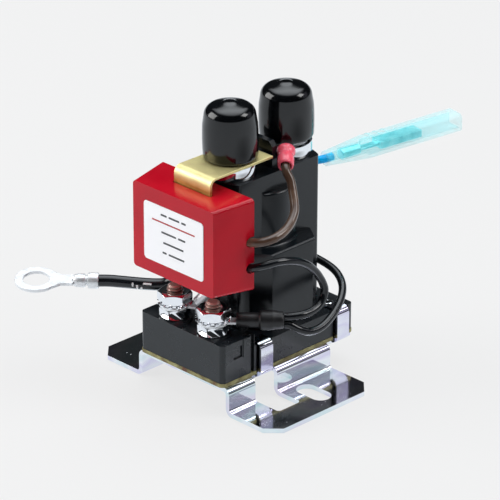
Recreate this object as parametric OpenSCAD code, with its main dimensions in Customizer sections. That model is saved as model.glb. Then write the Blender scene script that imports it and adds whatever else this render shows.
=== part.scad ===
// Battery isolator relay: a continuous-duty solenoid with a potted control module on its front.
// Millimetres. The origin is midway between the two foot slots, on the mounting face.
// +Z is up and -Y is the side of the control module.

/* [Mounting bracket] */
// Thickness of the bent sheet
sheet_t = 1.5; // [1:0.1:2]
// Height of the plate's top face above the mounting face
plate_top = 9.3; // [8:0.1:14]
// Width over the upright walls
hat_w = 40; // [39:0.5:46]
// Width over both feet
feet_w = 78; // [74:0.5:100]
// Length of the feet along the relay
feet_l = 44; // [40:0.5:60]
// Plate length under the base
plate_l = 55.5; // [54:0.5:60]
// Distance from the slots' centre line to the front edge
slot_to_front = 28; // [24:0.5:30]
// Distance between the two slots
slot_pitch = 57; // [56:0.5:60]
// Length of each slot, across the relay
slot_l = 12.5; // [9:0.5:14]
// Width of each slot
slot_w = 6.8; // [4.5:0.1:8]
// Inner radius of the bends
bend_r = 1; // [0.5:0.1:1.5]
// Corner chamfer of the feet
foot_chamfer = 4.5; // [1:0.5:7]
// Width of the window that each front tab is bent out of
window_w = 9.5; // [8:0.5:12]
// Reach of the window into the foot, from the centre line
window_x = 30; // [26:0.5:32]
// Width of a hold-down tab
tab_w = 5.2; // [3:0.1:6]
// Reach of a tab's hook over the base
tab_hook = 5; // [4:0.1:6]
// Place of the front tabs along the relay, from the slots' centre line
tab_front_y = -11.3; // [-12:0.1:-10]
// Place of the rear tabs along the relay, from the slots' centre line
tab_rear_y = 22.2; // [22:0.1:23.5]

/* [Base] */
// Width of the terminal base
base_w = 36.3; // [33:0.1:37]
// Length of the terminal base
base_l = 57; // [55:0.5:58]
// Overhang of the base past the front edge of the feet
base_overhang = 1; // [0:0.1:2]
// Height of the base's flange
base_h = 8.7; // [6:0.1:12]
// Extra height of the front terminal block
block_h = 3.9; // [2:0.1:5]
// Depth of the recess behind the front rim
block_recess = 1.1; // [0.5:0.1:2]
// Thickness of the front rim
rim_t = 3.6; // [2:0.1:4]
// Corner radius of the base
base_r = 1.6; // [0.5:0.1:3]
// Thickness of the gasket
gasket_t = 1.2; // [0.5:0.1:2]
// Width of the gasket beyond the base on every side
gasket_lip = 0.2; // [0:0.1:0.8]
// Depth of the side notches that the tabs stand in
notch_d = 1.9; // [1:0.1:2.5]
// Shank diameter of the eyelets
eyelet_d = 2.4; // [1.5:0.1:3]
// Depth of the snap groove's arms in the side of the terminal block
snap_w = 0.8; // [0.5:0.1:1.2]

/* [Body cover] */
// Width of the tower
tower_w = 18; // [17:0.1:19]
// Diameter of the round ends of the tower
tower_d = 38.6; // [38.6:0.1:39.5]
// Height of the tower's top above the base
tower_h = 49.3; // [47:0.1:52]
// Width of the coil chamber
chamber_w = 30; // [30:0.1:32]
// Distance across the chamber's sloping faces
chamber_slope_w = 31.4; // [31:0.1:33]
// Height of the coil chamber above the base
chamber_h = 26; // [26:0.1:27]
// Diameter of the contact chamber
contact_chamber_d = 23.6; // [23.4:0.1:25]
// Height of the contact chamber above the base
contact_chamber_h = 43.6; // [42:0.1:44.5]
// Wall of the cover
cover_wall = 1.6; // [1.2:0.1:1.7]
// Vertical corner radius of the tower
tower_r = 1.5; // [0.5:0.1:2.5]
// Thickness of the barrier between the main studs
barrier_t = 2; // [1.4:0.1:2.4]
// Width of the barrier
barrier_w = 13.6; // [10:0.1:13.6]
// Height of the barrier above the tower
barrier_h = 8.8; // [6:0.1:12]
// Chamfer of the barrier's top corners
barrier_chamfer = 1.5; // [0.5:0.1:3]

/* [Main studs] */
// Distance between the main studs
stud_pitch = 24; // [24:0.1:24.4]
// Diameter of a main stud
stud_d = 7.9; // [6:0.1:8]
// Reach of a stud above the tower
stud_reach = 19.5; // [18:0.1:20.5]
// Width across flats of a stud's head
head_af = 10.5; // [9:0.1:10.6]
// Diameter of a collar
collar_d = 16; // [12:0.1:16.4]
// Height of a collar
collar_h = 4.5; // [3:0.1:6]
// Width across flats of a main nut
nut_af = 12.7; // [11:0.1:12.8]
// Height of a main nut
nut_h = 6.2; // [4:0.1:7]
// Thickness of the spring washers
washer_t = 1.2; // [0.8:0.1:1.6]
// Outer diameter of a cap at its widest
cap_d = 17.2; // [16.8:0.1:18.4]
// Height of the front cap
cap_h = 18.1; // [17:0.1:20]
// Wall of a cap
cap_wall = 1.1; // [0.6:0.1:1.1]
// Radius of a cap's domed edge
cap_edge_r = 3.6; // [2:0.1:4]

/* [Brass link] */
// Thickness of the link
link_t = 0.8; // [0.5:0.1:1.2]
// Width of the link
link_w = 15.8; // [14:0.1:18]
// Sideways shift of the link
link_shift = 0.5; // [0:0.1:1]
// Depth that the link's leg stands inside the module, from its back edge
link_depth = 7.2; // [6:0.1:8.2]
// Length of the link behind the stud centre
link_rear = 9.8; // [7:0.1:9.9]
// Length of the link's leg inside the module
link_leg = 12; // [6:0.5:16]

/* [Control module] */
// Width of the module's front face
module_w = 34.8; // [32:0.1:38]
// Height of the module's front face
module_h = 28.3; // [26:0.1:30]
// Depth of the module
module_d = 14.4; // [12:0.1:16]
// Height of the front face's lower edge above the mounting face
module_z = 39.8; // [38.5:0.1:41]
// Gap between the module and the tower
module_gap = 2.2; // [2:0.1:3]
// Growth of the case from front to back, in width
draft_w = 5.6; // [0:0.1:5.8]
// Growth of the case from front to back, in height
draft_h = 1.7; // [0:0.1:2.5]
// Wall of the case
case_wall = 1.8; // [1.2:0.1:2.4]
// Corner radius of the case
case_r = 1.2; // [0.6:0.1:2]
// Width of the label
label_w = 25.8; // [20:0.1:28]
// Height of the label
label_h = 19.2; // [14:0.1:22]
// Thickness of the label
label_t = 0.2; // [0.1:0.05:0.4]
// Sideways shift of the case
module_shift = -0.4; // [-1:0.1:1]

/* [Coil studs] */
// Distance between the coil studs
coil_stud_pitch = 16.8; // [16:0.1:18]
// Diameter of a coil stud
coil_stud_d = 4.8; // [4:0.1:5]
// Reach of a coil stud above the terminal block
coil_stud_reach = 10.6; // [10.4:0.1:13]
// Distance from the base's front face to the coil studs
coil_stud_y = 5.5; // [5.2:0.1:6.5]
// Width across flats of the upper coil nuts
coil_nut_af = 9.5; // [8:0.1:9.6]
// Width across flats of the lower coil nuts
lower_nut_af = 8.4; // [8:0.1:9.6]
// Height of the coil nuts
coil_nut_h = 3.4; // [2.5:0.1:3.4]
// Diameter of the star washers
star_d = 11; // [10:0.1:11.2]
// Thickness of the star washers
star_t = 0.9; // [0.6:0.1:1]
// Thickness of the ring terminals
ring_t = 0.8; // [0.6:0.1:1]

/* [Coil] */
// Gap between the bobbin's flanges and the iron frame
bobbin_gap = 1; // [0.3:0.1:3]
// Length of the bobbin
bobbin_h = 21.2; // [19:0.1:21.5]
// Thickness of the bobbin's flanges
bobbin_flange = 1.2; // [0.8:0.1:2]
// Diameter of the plunger
plunger_d = 9.8; // [8:0.1:10]
// Radial clearance of the sliding plunger
slide_clearance = 0.08; // [0.03:0.01:0.1]
// Wall of the bobbin's tube
tube_wall = 0.9; // [0.6:0.1:1.5]
// Width of the iron strips
iron_w = 14; // [12:0.1:14.4]
// Thickness of the iron strips
iron_t = 2; // [1.5:0.1:2.2]
// Gap that the armature closes
contact_gap = 2.2; // [1.5:0.1:2.4]
// Diameter of the contact disc
disc_d = 19; // [16.5:0.1:19.5]
// Thickness of the contact disc
disc_t = 2; // [1:0.1:2.5]
// Diameter of the push rod
rod_d = 3; // [2:0.1:3.5]
// Outer diameter of the return spring
spring_d = 5.8; // [5:0.1:6]
// Wire diameter of the return spring
spring_wire = 0.6; // [0.4:0.05:0.7]

/* [Leads] */
// Diameter of the brown lead
brown_d = 2.75; // [2:0.05:3]
// Diameter of the black coil leads
black_d = 2.5; // [2:0.05:2.6]
// Diameter of the ground lead
ground_d = 3.8; // [3:0.1:4]
// Diameter of the override lead
override_d = 2.6; // [2:0.1:2.6]
// Diameter of the hole in the ground ring terminal
ground_hole_d = 8.4; // [6:0.1:8.6]
// Outer diameter of the ground ring terminal
ground_ring_d = 13.4; // [12:0.1:14]
// Length of the connector boot
boot_l = 51; // [48:0.5:60]
// Width of the connector boot
boot_w = 7.4; // [7:0.1:9]
// Height of the connector boot
boot_h = 6; // [5.8:0.1:7]

/* [Hidden] */

$fn = 64;
fit = 0.3; // gap between pieces that don't touch
big = 200; // longer than anything in the part
slice = 0.01; // thickness of the sections that a hull joins

black_plastic = [0.13, 0.14, 0.15];
zinc = [0.82, 0.85, 0.9];
brass = [0.86, 0.72, 0.4];
copper_plate = [0.62, 0.4, 0.32];
iron = [0.5, 0.51, 0.53];
tin = [0.85, 0.86, 0.87];

// Heights
plate_bottom = plate_top - sheet_t;
base_z = plate_top + gasket_t;
flange_z = base_z + base_h;
block_z = flange_z + block_h;
tower_z = flange_z + tower_h;
stud_foot = base_z + 2; // lower end of the coil studs, inside the base
collar_z = tower_z + collar_h;
link_z = collar_z + link_t;
stud_top_z = tower_z + stud_reach;

// Places along the relay
feet_front = -slot_to_front;
feet_rear = feet_front + feet_l;
plate_rear = feet_front + plate_l;
base_front = feet_front - base_overhang;
base_rear = base_front + base_l;
coil_from_front = 33.2; // from the base's front face to the coil's axis
coil_y = base_front + coil_from_front;
stud_y = [coil_y - stud_pitch / 2, coil_y + stud_pitch / 2];
tower_front = coil_y - tower_d / 2;
module_back = tower_front - module_gap;
block_l = tower_front - fit - base_front;
module_front = module_back - module_d;
coil_stud_place = base_front + coil_stud_y;

// Half length of the iron frame, which just clears the tower's round ends
leg = sqrt(pow(tower_d / 2 - cover_wall - fit, 2) - pow(iron_w / 2, 2));
// The bobbin fits between the iron legs and between the chamber's walls
chamber_room = min(chamber_w, chamber_slope_w) - 2 * (cover_wall + fit / 2);
bobbin_d = min(2 * (leg - iron_t - bobbin_gap), chamber_room);

// Coil stack, from the base upwards
yoke_top = flange_z + iron_t;
bobbin_top = yoke_top + bobbin_h;
flux_top = bobbin_top + iron_t;
bore_r = plunger_d / 2 + slide_clearance;
core_bottom = bobbin_top - 8.4;
plunger_bottom = yoke_top + fit;
plunger_top = core_bottom - contact_gap - fit;
head_h = 3.5;
stud_roof = tower_z - 5.2;
head_z = stud_roof - head_h;
disc_top = head_z - contact_gap;
disc_z = disc_top - disc_t;
spring_pocket = 4;

// Small hardware on the coil studs
lower_nut_top = block_z + coil_nut_h;
coil_ring_top = lower_nut_top + ring_t;
star_top = coil_ring_top + star_t;

// Crimp sleeve and its terminal on the right coil stud
sleeve_angle = 45;
sleeve_start = 7;
sleeve_l = 14.5;
sleeve_neck_l = 7;
sleeve_neck_r = 2.35;
sleeve_r = 3.1;
sleeve_z = lower_nut_top + ring_t;

// Tin terminal on the left coil stud
left_barrel_from = [-2.3, -19.5, 28.2];
left_barrel_to = [1.7, -17.5, 33.2];

// Terminal of the brown lead on the rear main stud
main_ring_angle = -46;
main_ring_d = 13.4;
main_barrel_from = 10.6;
main_barrel_l = 8;
main_barrel_r = 2.55;
main_barrel_tilt = 15;
main_tongue_w = 4.4;
main_tongue_l = main_barrel_from + 1.6;
main_ring_z = collar_z + ring_t;

// Lead routes, from the module or hidden end to the terminal
brown_route = [[16.5, -18.4, 55.2], [19.5, -18.4, 55.2], [22.6, -17.4, 55.8], [24.4, -14, 56.5],
    [24.4, -9.6, 57.3], [23.1, -5.2, 58.6], [21.2, -1.6, 61], [18.4, 0.6, 64.4], [15.8, 2, 68],
    [14.2, 2, 70], [12.7, 3, 71.3], [9.9, 5.9, 72.4]];
inner_route = [[16.5, -18.4, 46.6], [19.8, -18.4, 46.7], [23.3, -16.8, 48.1], [25.3, -12, 48.6],
    [26.3, -5.6, 47], [26.4, 0, 43.4], [26.2, 4.4, 38.4], [26.4, 6.4, 33.6], [26.6, 4.8, 30],
    [26.9, 1, 28.6], [26.7, -3.4, 28.5], [24.9, -7.1, 28.5], [23.8, -8.2, 28.5]];
outer_route = [[-13, -18, 46], [-13, -16, 46], [-14.6, -13.2, 45.6], [-17, -9, 44], [-18, -2, 41], [-18, 6, 38],
    [-16.6, 14, 35], [-12.5, 21, 32.6], [-6, 25, 31], [2, 26, 30.4], [10.5, 25, 30.2], [16.6, 23, 29.4],
    [21.4, 19.6, 27.8], [24.9, 14.4, 25.6], [27, 8.6, 23.6], [28, 3.2, 22.4], [27.8, -1.6, 22.6],
    [26.6, -5, 24.2], [24.9, -7.1, 25.8], [23.8, -8.2, 25.9]];
left_route = [[0.5, -18.1, 31.7], [2.4, -17.15, 34.1], [2.9, -17.3, 36], [3, -18.4, 38.2],
    [3, -19.2, 40.4], [3, -19.2, 42]];
ground_route = [[-12.8, -18.8, 42.4], [-12.8, -18.8, 39.6], [-12.8, -18.3, 36.6], [-13.3, -17.6, 33.6],
    [-14.8, -17.7, 30.9], [-17.5, -19.4, 29.2], [-21.4, -22.3, 28.8], [-26.4, -26, 28.9],
    [-31.1, -29.4, 29], [-33.7, -31.9, 29]];
override_route = [[-13.5, -18, 59.6], [-13.5, -15.6, 59.6], [-14, -12, 60.2], [-14.6, -6, 61], [-14.8, 2, 61.6],
    [-14.4, 9, 62], [-13, 15, 62], [-11.4, 20, 62], [-8.2, 23.6, 62], [-4.4, 25.6, 62], [-1.2, 26.8, 62],
    [0.9, 28.6, 62], [1.9, 31.2, 62], [2.4, 34, 62.1]];

// Ground ring terminal
ground_end = ground_route[len(ground_route) - 1];
ground_angle = 223.8;
ground_tilt = -7;
ground_ring_x = 19.4; // centre of the ring from the lead's end
ground_crimp_l = 3.6;
ground_barrel_l = 8.2;
ground_tongue_w = 5;
ground_ring_t = 1;

// Connector boot at the end of the override lead
boot_angle = 80;
boot_rise = 1.3;
boot_from = override_route[len(override_route) - 2];

// Plans and outlines

module along_y(from, to) {
    translate([0, to, 0]) rotate([90, 0, 0]) linear_extrude(to - from) children();
}

module both_sides() {
    children();
    mirror([1, 0, 0]) children();
}

module rounded_rect(w, l, r) {
    square([w - 2 * r, l], center = true);
    square([w, l - 2 * r], center = true);
    for (x = [-1, 1], y = [-1, 1]) translate([x * (w / 2 - r), y * (l / 2 - r)]) circle(r, $fn = 32);
}

// A rectangle with its corners cut at 45 degrees
module chamfered_rect(w, l, c) {
    polygon([[-w / 2 + c, -l / 2], [w / 2 - c, -l / 2], [w / 2, -l / 2 + c], [w / 2, l / 2 - c],
        [w / 2 - c, l / 2], [-w / 2 + c, l / 2], [-w / 2, l / 2 - c], [-w / 2, -l / 2 + c]]);
}

// One quarter of a bend in the sheet, about its own centre
module bend(turn) {
    rotate(turn) intersection() {
        difference() {
            circle(bend_r + sheet_t, $fn = 32);
            circle(bend_r, $fn = 32);
        }
        square(bend_r + sheet_t);
    }
}

function hex_r(af) = af / 2 / cos(30);

module hex(af, h) {
    rotate(30) cylinder(r = hex_r(af), h = h, $fn = 6);
}

// A hexagonal nut with a plain bore and corners chamfered at 30 degrees
module nut(af, h, bore) {
    face_r = af / 2 - 0.25;
    waist_r = face_r + h / 2 / tan(30);
    difference() {
        intersection() {
            hex(af, h);
            rotate_extrude() polygon([[0, 0], [face_r, 0], [waist_r, h / 2], [face_r, h], [0, h]]);
        }
        translate([0, 0, -1]) cylinder(d = bore, h = h + 2);
    }
}

// Swept tubes
function unit(v) = v / norm(v);
function tangent(p, i) = unit(p[min(i + 1, len(p) - 1)] - p[max(i - 1, 0)]);
function squared(u, t) = unit(u - t * (u * t));
function side_of(t) = squared(abs(t[2]) < 0.9 ? [0, 0, 1] : [1, 0, 0], t);
function tube_sides(p) = [for (i = 0, u = side_of(tangent(p, 0)); i < len(p);
    i = i + 1, u = i < len(p) ? squared(u, tangent(p, i)) : u) u];

// A tube of constant diameter along a list of points
module tube(p, d, n = 8) {
    u = tube_sides(p);
    rings = [for (i = [0:len(p) - 1], k = [0:n - 1])
        let (t = tangent(p, i), v = cross(t, u[i]), a = 360 * k / n)
        p[i] + d / 2 * (cos(a) * u[i] + sin(a) * v)];
    walls = [for (i = [0:len(p) - 2], k = [0:n - 1])
        let (a = i * n + k, b = i * n + (k + 1) % n) each [[a, a + n, b + n], [a, b + n, b]]];
    start = [for (k = [0:n - 1]) k];
    end = [for (k = [n - 1:-1:0]) (len(p) - 1) * n + k];
    polyhedron(rings, concat(walls, [start], [end]), convexity = 6);
}

// A straight round bar between two points
module bar(from, to, r1, r2) {
    d = to - from;
    translate(from) rotate([0, acos(d[2] / norm(d)), atan2(d[1], d[0])])
        cylinder(r1 = r1, r2 = r2, h = norm(d), $fn = 32);
}

// Mounting bracket

// Right half of the hat section: plate, bend, wall, bend and foot
module hat_profile() {
    r = bend_r + sheet_t;
    wall_x = hat_w / 2;
    translate([0, plate_bottom]) square([wall_x - r, sheet_t]);
    translate([wall_x - r, plate_top - r]) bend(0);
    translate([wall_x - sheet_t, sheet_t + bend_r]) square([sheet_t, plate_top - r - sheet_t - bend_r]);
    translate([wall_x + bend_r, sheet_t + bend_r]) bend(180);
    translate([wall_x + bend_r, 0]) square([feet_w / 2 - wall_x - bend_r, sheet_t]);
}

// The outline of both feet seen from above, with chamfered corners
module feet_plan() {
    translate([0, (feet_front + feet_rear) / 2]) chamfered_rect(feet_w, feet_l, foot_chamfer);
}

tab_r = bend_r + sheet_t;
tab_x = hat_w / 2 - 0.5;
tab_top = flange_z + 0.4;

// Side view of a hold-down tab, hooked inwards over the base
module tab_profile() {
    root = sheet_t / 2; // part of the tab that runs into the plate
    translate([tab_x - tab_r - root, plate_bottom]) square([root, sheet_t]);
    translate([tab_x - tab_r, plate_bottom + tab_r]) bend(270);
    translate([tab_x - sheet_t, plate_bottom + tab_r])
        square([sheet_t, tab_top - plate_bottom - 2 * tab_r]);
    translate([tab_x - tab_r, tab_top - tab_r]) bend(0);
    translate([tab_x - tab_hook, tab_top - sheet_t]) square([tab_hook - tab_r, sheet_t]);
}

module slot_hole() {
    translate([0, 0, -sheet_t]) linear_extrude(3 * sheet_t) {
        for (x = [-1, 1] * (slot_l - slot_w) / 2) translate([x, 0]) circle(d = slot_w);
        square([slot_l - slot_w, slot_w], center = true);
    }
}

module mounting_bracket() {
    window_corner = 1.2;
    window_from = hat_w / 2 - tab_r;
    color(zinc) {
        both_sides() difference() {
            intersection() {
                along_y(feet_front, feet_rear) hat_profile();
                linear_extrude(plate_top) feet_plan();
            }
            translate([(window_from + window_x) / 2, tab_front_y - 0.7, -1]) linear_extrude(plate_top + 2)
                rounded_rect(window_x - window_from, window_w, window_corner);
            translate([slot_pitch / 2, 0, 0]) slot_hole();
        }
        difference() {
            translate([0, (feet_rear + plate_rear) / 2, plate_bottom])
                linear_extrude(sheet_t) square([hat_w - 2 * tab_r, plate_rear - feet_rear], center = true);
            eyelet_places() translate([0, 0, -1]) cylinder(d = eyelet_d, h = big, $fn = 32);
        }
        both_sides() for (y = [tab_front_y, tab_rear_y])
            along_y(y - tab_w / 2, y + tab_w / 2) tab_profile();
    }
}

// Base

eyelet_head_r = eyelet_d / 2 + 0.8;
eyelet_gap = 0.2; // from an eyelet's head to the hook beside it, or to the notch
eyelet_x = min(tab_x - tab_hook, base_w / 2 - notch_d) - eyelet_head_r - eyelet_gap;

// The places of the two eyelets, beside the hooks of the rear tabs
module eyelet_places() {
    both_sides() translate([eyelet_x, tab_rear_y, 0]) children();
}

notch_w = tab_w + 1.4; // width of the notches and of the hooks' pockets

// Everything that is left open beside the tabs, seen from above
module tab_notches(depth) {
    both_sides() for (y = [tab_front_y, tab_rear_y])
        translate([base_w / 2 - depth, y - notch_w / 2]) square([depth + 5, notch_w]);
}

module base_plan(lip = 0) {
    translate([0, (base_front + base_rear) / 2])
        rounded_rect(base_w + 2 * lip, base_l + 2 * lip, base_r + lip);
}

module base_gasket() {
    color([0.62, 0.6, 0.42]) difference() {
        translate([0, 0, plate_top]) linear_extrude(gasket_t) difference() {
            base_plan(gasket_lip);
            tab_notches(notch_d);
        }
        eyelet_places() cylinder(d = eyelet_d, h = big, $fn = 32);
    }
}

// Snap groove in the side of the terminal block: an L, and an upright slot behind it
snap_l = 3.5; // length of the L's arms
snap_y = base_front + 4.8; // front end of the L
snap_z = block_z - 5.8; // lower edge of the L
snap_depth = 0.6;
snap_slot_from = 12; // from the base's front face to the upright slot
snap_slot_y = base_front + snap_slot_from;
snap_slot_w = 1.4;

module snap_groove() {
    x = base_w / 2 - snap_depth;
    translate([x, snap_y, snap_z]) cube([2 * snap_depth, snap_l, snap_w]);
    translate([x, snap_y + snap_l - snap_w, snap_z]) cube([2 * snap_depth, snap_w, snap_l + snap_w / 2]);
    translate([x - 0.4, snap_slot_y, base_z - 1]) cube([2 * snap_depth + 1, snap_slot_w, block_z]);
}

module terminal_base() {
    block_mid = base_front + block_l / 2;
    recess_w = base_w - 2 * rim_t;
    pad_h = base_h * 0.7;
    color(black_plastic) difference() {
        union() {
            translate([0, 0, base_z]) linear_extrude(base_h) base_plan();
            translate([0, 0, flange_z]) linear_extrude(block_h) intersection() {
                base_plan();
                translate([0, block_mid]) square([big, block_l], center = true);
            }
            // raised pad between the L and the slot
            both_sides() translate([base_w / 2, (snap_y + snap_l + snap_slot_y) / 2, block_z - pad_h / 2 - 0.1])
                cube([0.5, snap_slot_y - snap_y - snap_l - 0.8, pad_h], center = true);
        }
        // recessed face behind the rim, open to the rear, with a round pad left at each stud
        translate([0, 0, block_z - block_recess]) linear_extrude(block_h) difference() {
            translate([0, base_front + rim_t + block_l / 2]) rounded_rect(recess_w, block_l, 2);
            for (x = [-1, 1]) translate([x * coil_stud_pitch / 2, coil_stud_place]) circle(d = star_d);
        }
        both_sides() snap_groove();
        translate([0, 0, base_z - 1]) linear_extrude(big) tab_notches(notch_d);
        // pockets that the hooks reach into
        both_sides() for (y = [tab_front_y, tab_rear_y])
            translate([tab_x - tab_hook - fit, y - notch_w / 2, tab_top - sheet_t - fit])
                cube([big, notch_w, big]);
        eyelet_places() cylinder(d = eyelet_d, h = big, $fn = 32);
        for (x = [-1, 1]) translate([x * coil_stud_pitch / 2, coil_stud_place, stud_foot])
            cylinder(d = coil_stud_d, h = big);
    }
}

module base_eyelets() {
    head = 0.4;
    color(zinc) eyelet_places() difference() {
        union() {
            translate([0, 0, plate_bottom - head]) cylinder(r = eyelet_head_r, h = head, $fn = 32);
            translate([0, 0, plate_bottom]) cylinder(d = eyelet_d, h = flange_z - plate_bottom, $fn = 32);
            translate([0, 0, flange_z]) cylinder(r1 = eyelet_head_r, r2 = eyelet_head_r - 0.3, h = head, $fn = 32);
        }
        translate([0, 0, plate_bottom - 1]) cylinder(d = eyelet_d - 0.9, h = big, $fn = 32);
    }
}

// Body cover

// The tower's plan: a slab with round ends and rounded corners, drawn in by an inset
module tower_plan(inset = 0, r = tower_r) {
    end_r = tower_d / 2 - inset;
    half = tower_w / 2 - inset;
    corner_y = sqrt(pow(end_r - r, 2) - pow(half - r, 2));
    touch_x = half - r + r * (half - r) / (end_r - r);
    intersection() {
        circle(end_r, $fn = 96);
        square([2 * touch_x, 2 * end_r], center = true);
    }
    square([2 * half, 2 * corner_y], center = true);
    for (x = [-1, 1], y = [-1, 1]) translate([x * (half - r), y * corner_y]) circle(r, $fn = 32);
}

// The coil chamber's plan: straight sides with sloping faces to the tower
module chamber_plan(inset = 0) {
    slope = 34.1;
    intersection() {
        square([chamber_w - 2 * inset, big], center = true);
        rotate(slope) square([big, chamber_slope_w - 2 * inset], center = true);
        rotate(-slope) square([big, chamber_slope_w - 2 * inset], center = true);
        square([big, tower_d - 2 * inset], center = true);
    }
}

module cover_outside() {
    lip = 0.5;
    linear_extrude(chamber_h) chamber_plan();
    translate([0, 0, chamber_h - 1.2]) linear_extrude(1.2) intersection() {
        chamber_plan(-lip);
        square([big, tower_d - 4], center = true);
    }
    linear_extrude(tower_h) tower_plan();
    cylinder(d = contact_chamber_d, h = contact_chamber_h, $fn = 96);
    translate([0, 0, tower_h]) along_y(-barrier_t / 2, barrier_t / 2) translate([0, barrier_h / 2])
        barrier_face();
}

module barrier_face() {
    w = barrier_w / 2;
    h = barrier_h / 2;
    c = barrier_chamfer;
    polygon([[-w, -h], [w, -h], [w, h - c], [w - c, h], [c - w, h], [-w, h - c]]);
}

module cover_inside() {
    translate([0, 0, -1]) linear_extrude(chamber_h - cover_wall + 1) chamber_plan(cover_wall);
    translate([0, 0, -1]) linear_extrude(stud_roof - flange_z + 1) tower_plan(cover_wall, 0.6);
    translate([0, 0, -1]) cylinder(d = contact_chamber_d - 2 * cover_wall,
        h = contact_chamber_h - cover_wall + 1, $fn = 96);
    for (y = [-1, 1]) translate([0, y * stud_pitch / 2, 0]) cylinder(d = stud_d, h = tower_h + 1);
}

module body_cover() {
    color(black_plastic) translate([0, coil_y, flange_z]) difference() {
        cover_outside();
        cover_inside();
    }
}

// Magnet

module yoke_frame() {
    color(iron) translate([0, coil_y, flange_z]) {
        translate([-iron_w / 2, -leg, 0]) cube([iron_w, 2 * leg, iron_t]);
        for (y = [-leg, leg - iron_t])
            translate([-iron_w / 2, y, iron_t]) cube([iron_w, iron_t, bobbin_h]);
    }
}

module flux_plate() {
    color(iron) translate([0, coil_y, bobbin_top]) difference() {
        translate([-iron_w / 2, -leg, 0]) cube([iron_w, 2 * leg, iron_t]);
        translate([0, 0, -1]) cylinder(r = bore_r, h = iron_t + 2);
    }
}

module fixed_core() {
    color(iron) translate([0, coil_y, 0]) difference() {
        union() {
            translate([0, 0, core_bottom]) cylinder(r = bore_r, h = flux_top - core_bottom);
            translate([0, 0, flux_top]) cylinder(r = bore_r + 1, h = 1);
        }
        translate([0, 0, core_bottom - 1]) cylinder(d = rod_d + 2 * slide_clearance, h = big);
        translate([0, 0, core_bottom - 1]) cylinder(d = spring_d + 0.6, h = spring_pocket + 1);
    }
}

module coil_bobbin() {
    color([0.85, 0.83, 0.76]) translate([0, coil_y, yoke_top]) difference() {
        union() {
            cylinder(r = bore_r + tube_wall, h = bobbin_h);
            cylinder(d = bobbin_d, h = bobbin_flange);
            translate([0, 0, bobbin_h - bobbin_flange]) cylinder(d = bobbin_d, h = bobbin_flange);
        }
        translate([0, 0, -1]) cylinder(r = bore_r, h = bobbin_h + 2);
    }
}

module coil_winding() {
    color([0.65, 0.35, 0.18]) translate([0, coil_y, yoke_top + bobbin_flange]) difference() {
        cylinder(d = bobbin_d - 1, h = bobbin_h - 2 * bobbin_flange);
        translate([0, 0, -1]) cylinder(r = bore_r + tube_wall, h = bobbin_h);
    }
}

// Armature

rod_seat = plunger_top - 5;
bush_h = disc_t + 3;

module plunger() {
    color(iron) translate([0, coil_y, 0]) difference() {
        translate([0, 0, plunger_bottom]) cylinder(d = plunger_d, h = plunger_top - plunger_bottom);
        translate([0, 0, rod_seat]) cylinder(d = rod_d, h = big);
    }
}

module push_rod() {
    color(tin) translate([0, coil_y, rod_seat]) difference() {
        cylinder(d = rod_d, h = disc_top + 3 - rod_seat);
        // groove of the retaining clip
        translate([0, 0, disc_top + 1.5 - rod_seat]) clip_ring(rod_d / 2 - 0.5, rod_d);
    }
}

module clip_ring(inner, outer) {
    difference() {
        cylinder(r = outer, h = 0.6);
        translate([0, 0, -1]) cylinder(r = inner, h = 3);
    }
}

module contact_bush() {
    color([0.75, 0.2, 0.15]) translate([0, coil_y, disc_z]) difference() {
        union() {
            translate([0, 0, -1.5]) cylinder(d = rod_d + 5, h = 1.5);
            cylinder(d = rod_d + 2, h = disc_t);
            translate([0, 0, disc_t]) cylinder(d = rod_d + 5, h = 1.5);
        }
        translate([0, 0, -2]) cylinder(d = rod_d, h = bush_h + 2);
    }
}

module contact_disc() {
    color([0.75, 0.45, 0.3]) translate([0, coil_y, disc_z]) difference() {
        cylinder(d = disc_d, h = disc_t);
        translate([0, 0, -1]) cylinder(d = rod_d + 2, h = disc_t + 2);
    }
}

module rod_clip() {
    color(iron) translate([0, coil_y, disc_top + 1.5]) difference() {
        clip_ring(rod_d / 2 - 0.5, rod_d / 2 + 1.2);
        translate([0, -0.8, -1]) cube([big, 1.6, 3]);
    }
}

// The spring rests on the plunger and in the pocket of the core
module return_spring() {
    turns = 4;
    steps = 12;
    from = plunger_top + spring_wire / 2;
    rise = core_bottom + spring_pocket - spring_wire / 2 - from;
    r = (spring_d - spring_wire) / 2;
    count = turns * steps;
    path = [for (i = [0:count]) [r * cos(360 * i / steps), coil_y + r * sin(360 * i / steps),
        from + rise * i / count]];
    color(tin) tube(path, spring_wire, 6);
}

// Main studs and what is on them

module main_stud(y) {
    color(zinc) translate([0, y, 0]) {
        translate([0, 0, head_z]) rotate(30) hex(head_af, head_h);
        translate([0, 0, head_z]) cylinder(d = stud_d, h = stud_top_z - head_z - 0.8);
        translate([0, 0, stud_top_z - 0.8]) cylinder(d1 = stud_d, d2 = stud_d - 1.6, h = 0.8);
    }
}

module main_stud_front() {
    main_stud(stud_y[0]);
}

module main_stud_rear() {
    main_stud(stud_y[1]);
}

module stud_collar(y) {
    edge = 0.4;
    color(zinc) translate([0, y, tower_z]) difference() {
        union() {
            cylinder(d1 = collar_d - 2 * edge, d2 = collar_d, h = edge);
            translate([0, 0, edge]) cylinder(d = collar_d, h = collar_h - 2 * edge);
            translate([0, 0, collar_h - edge]) cylinder(d1 = collar_d, d2 = collar_d - 2 * edge, h = edge);
        }
        translate([0, 0, -1]) cylinder(d = stud_d, h = collar_h + 2);
    }
}

module stud_collar_front() {
    stud_collar(stud_y[0]);
}

module stud_collar_rear() {
    stud_collar(stud_y[1]);
}

// Heights of the faces that the spring washers press on
washer_z = [link_z, main_ring_z];

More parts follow.
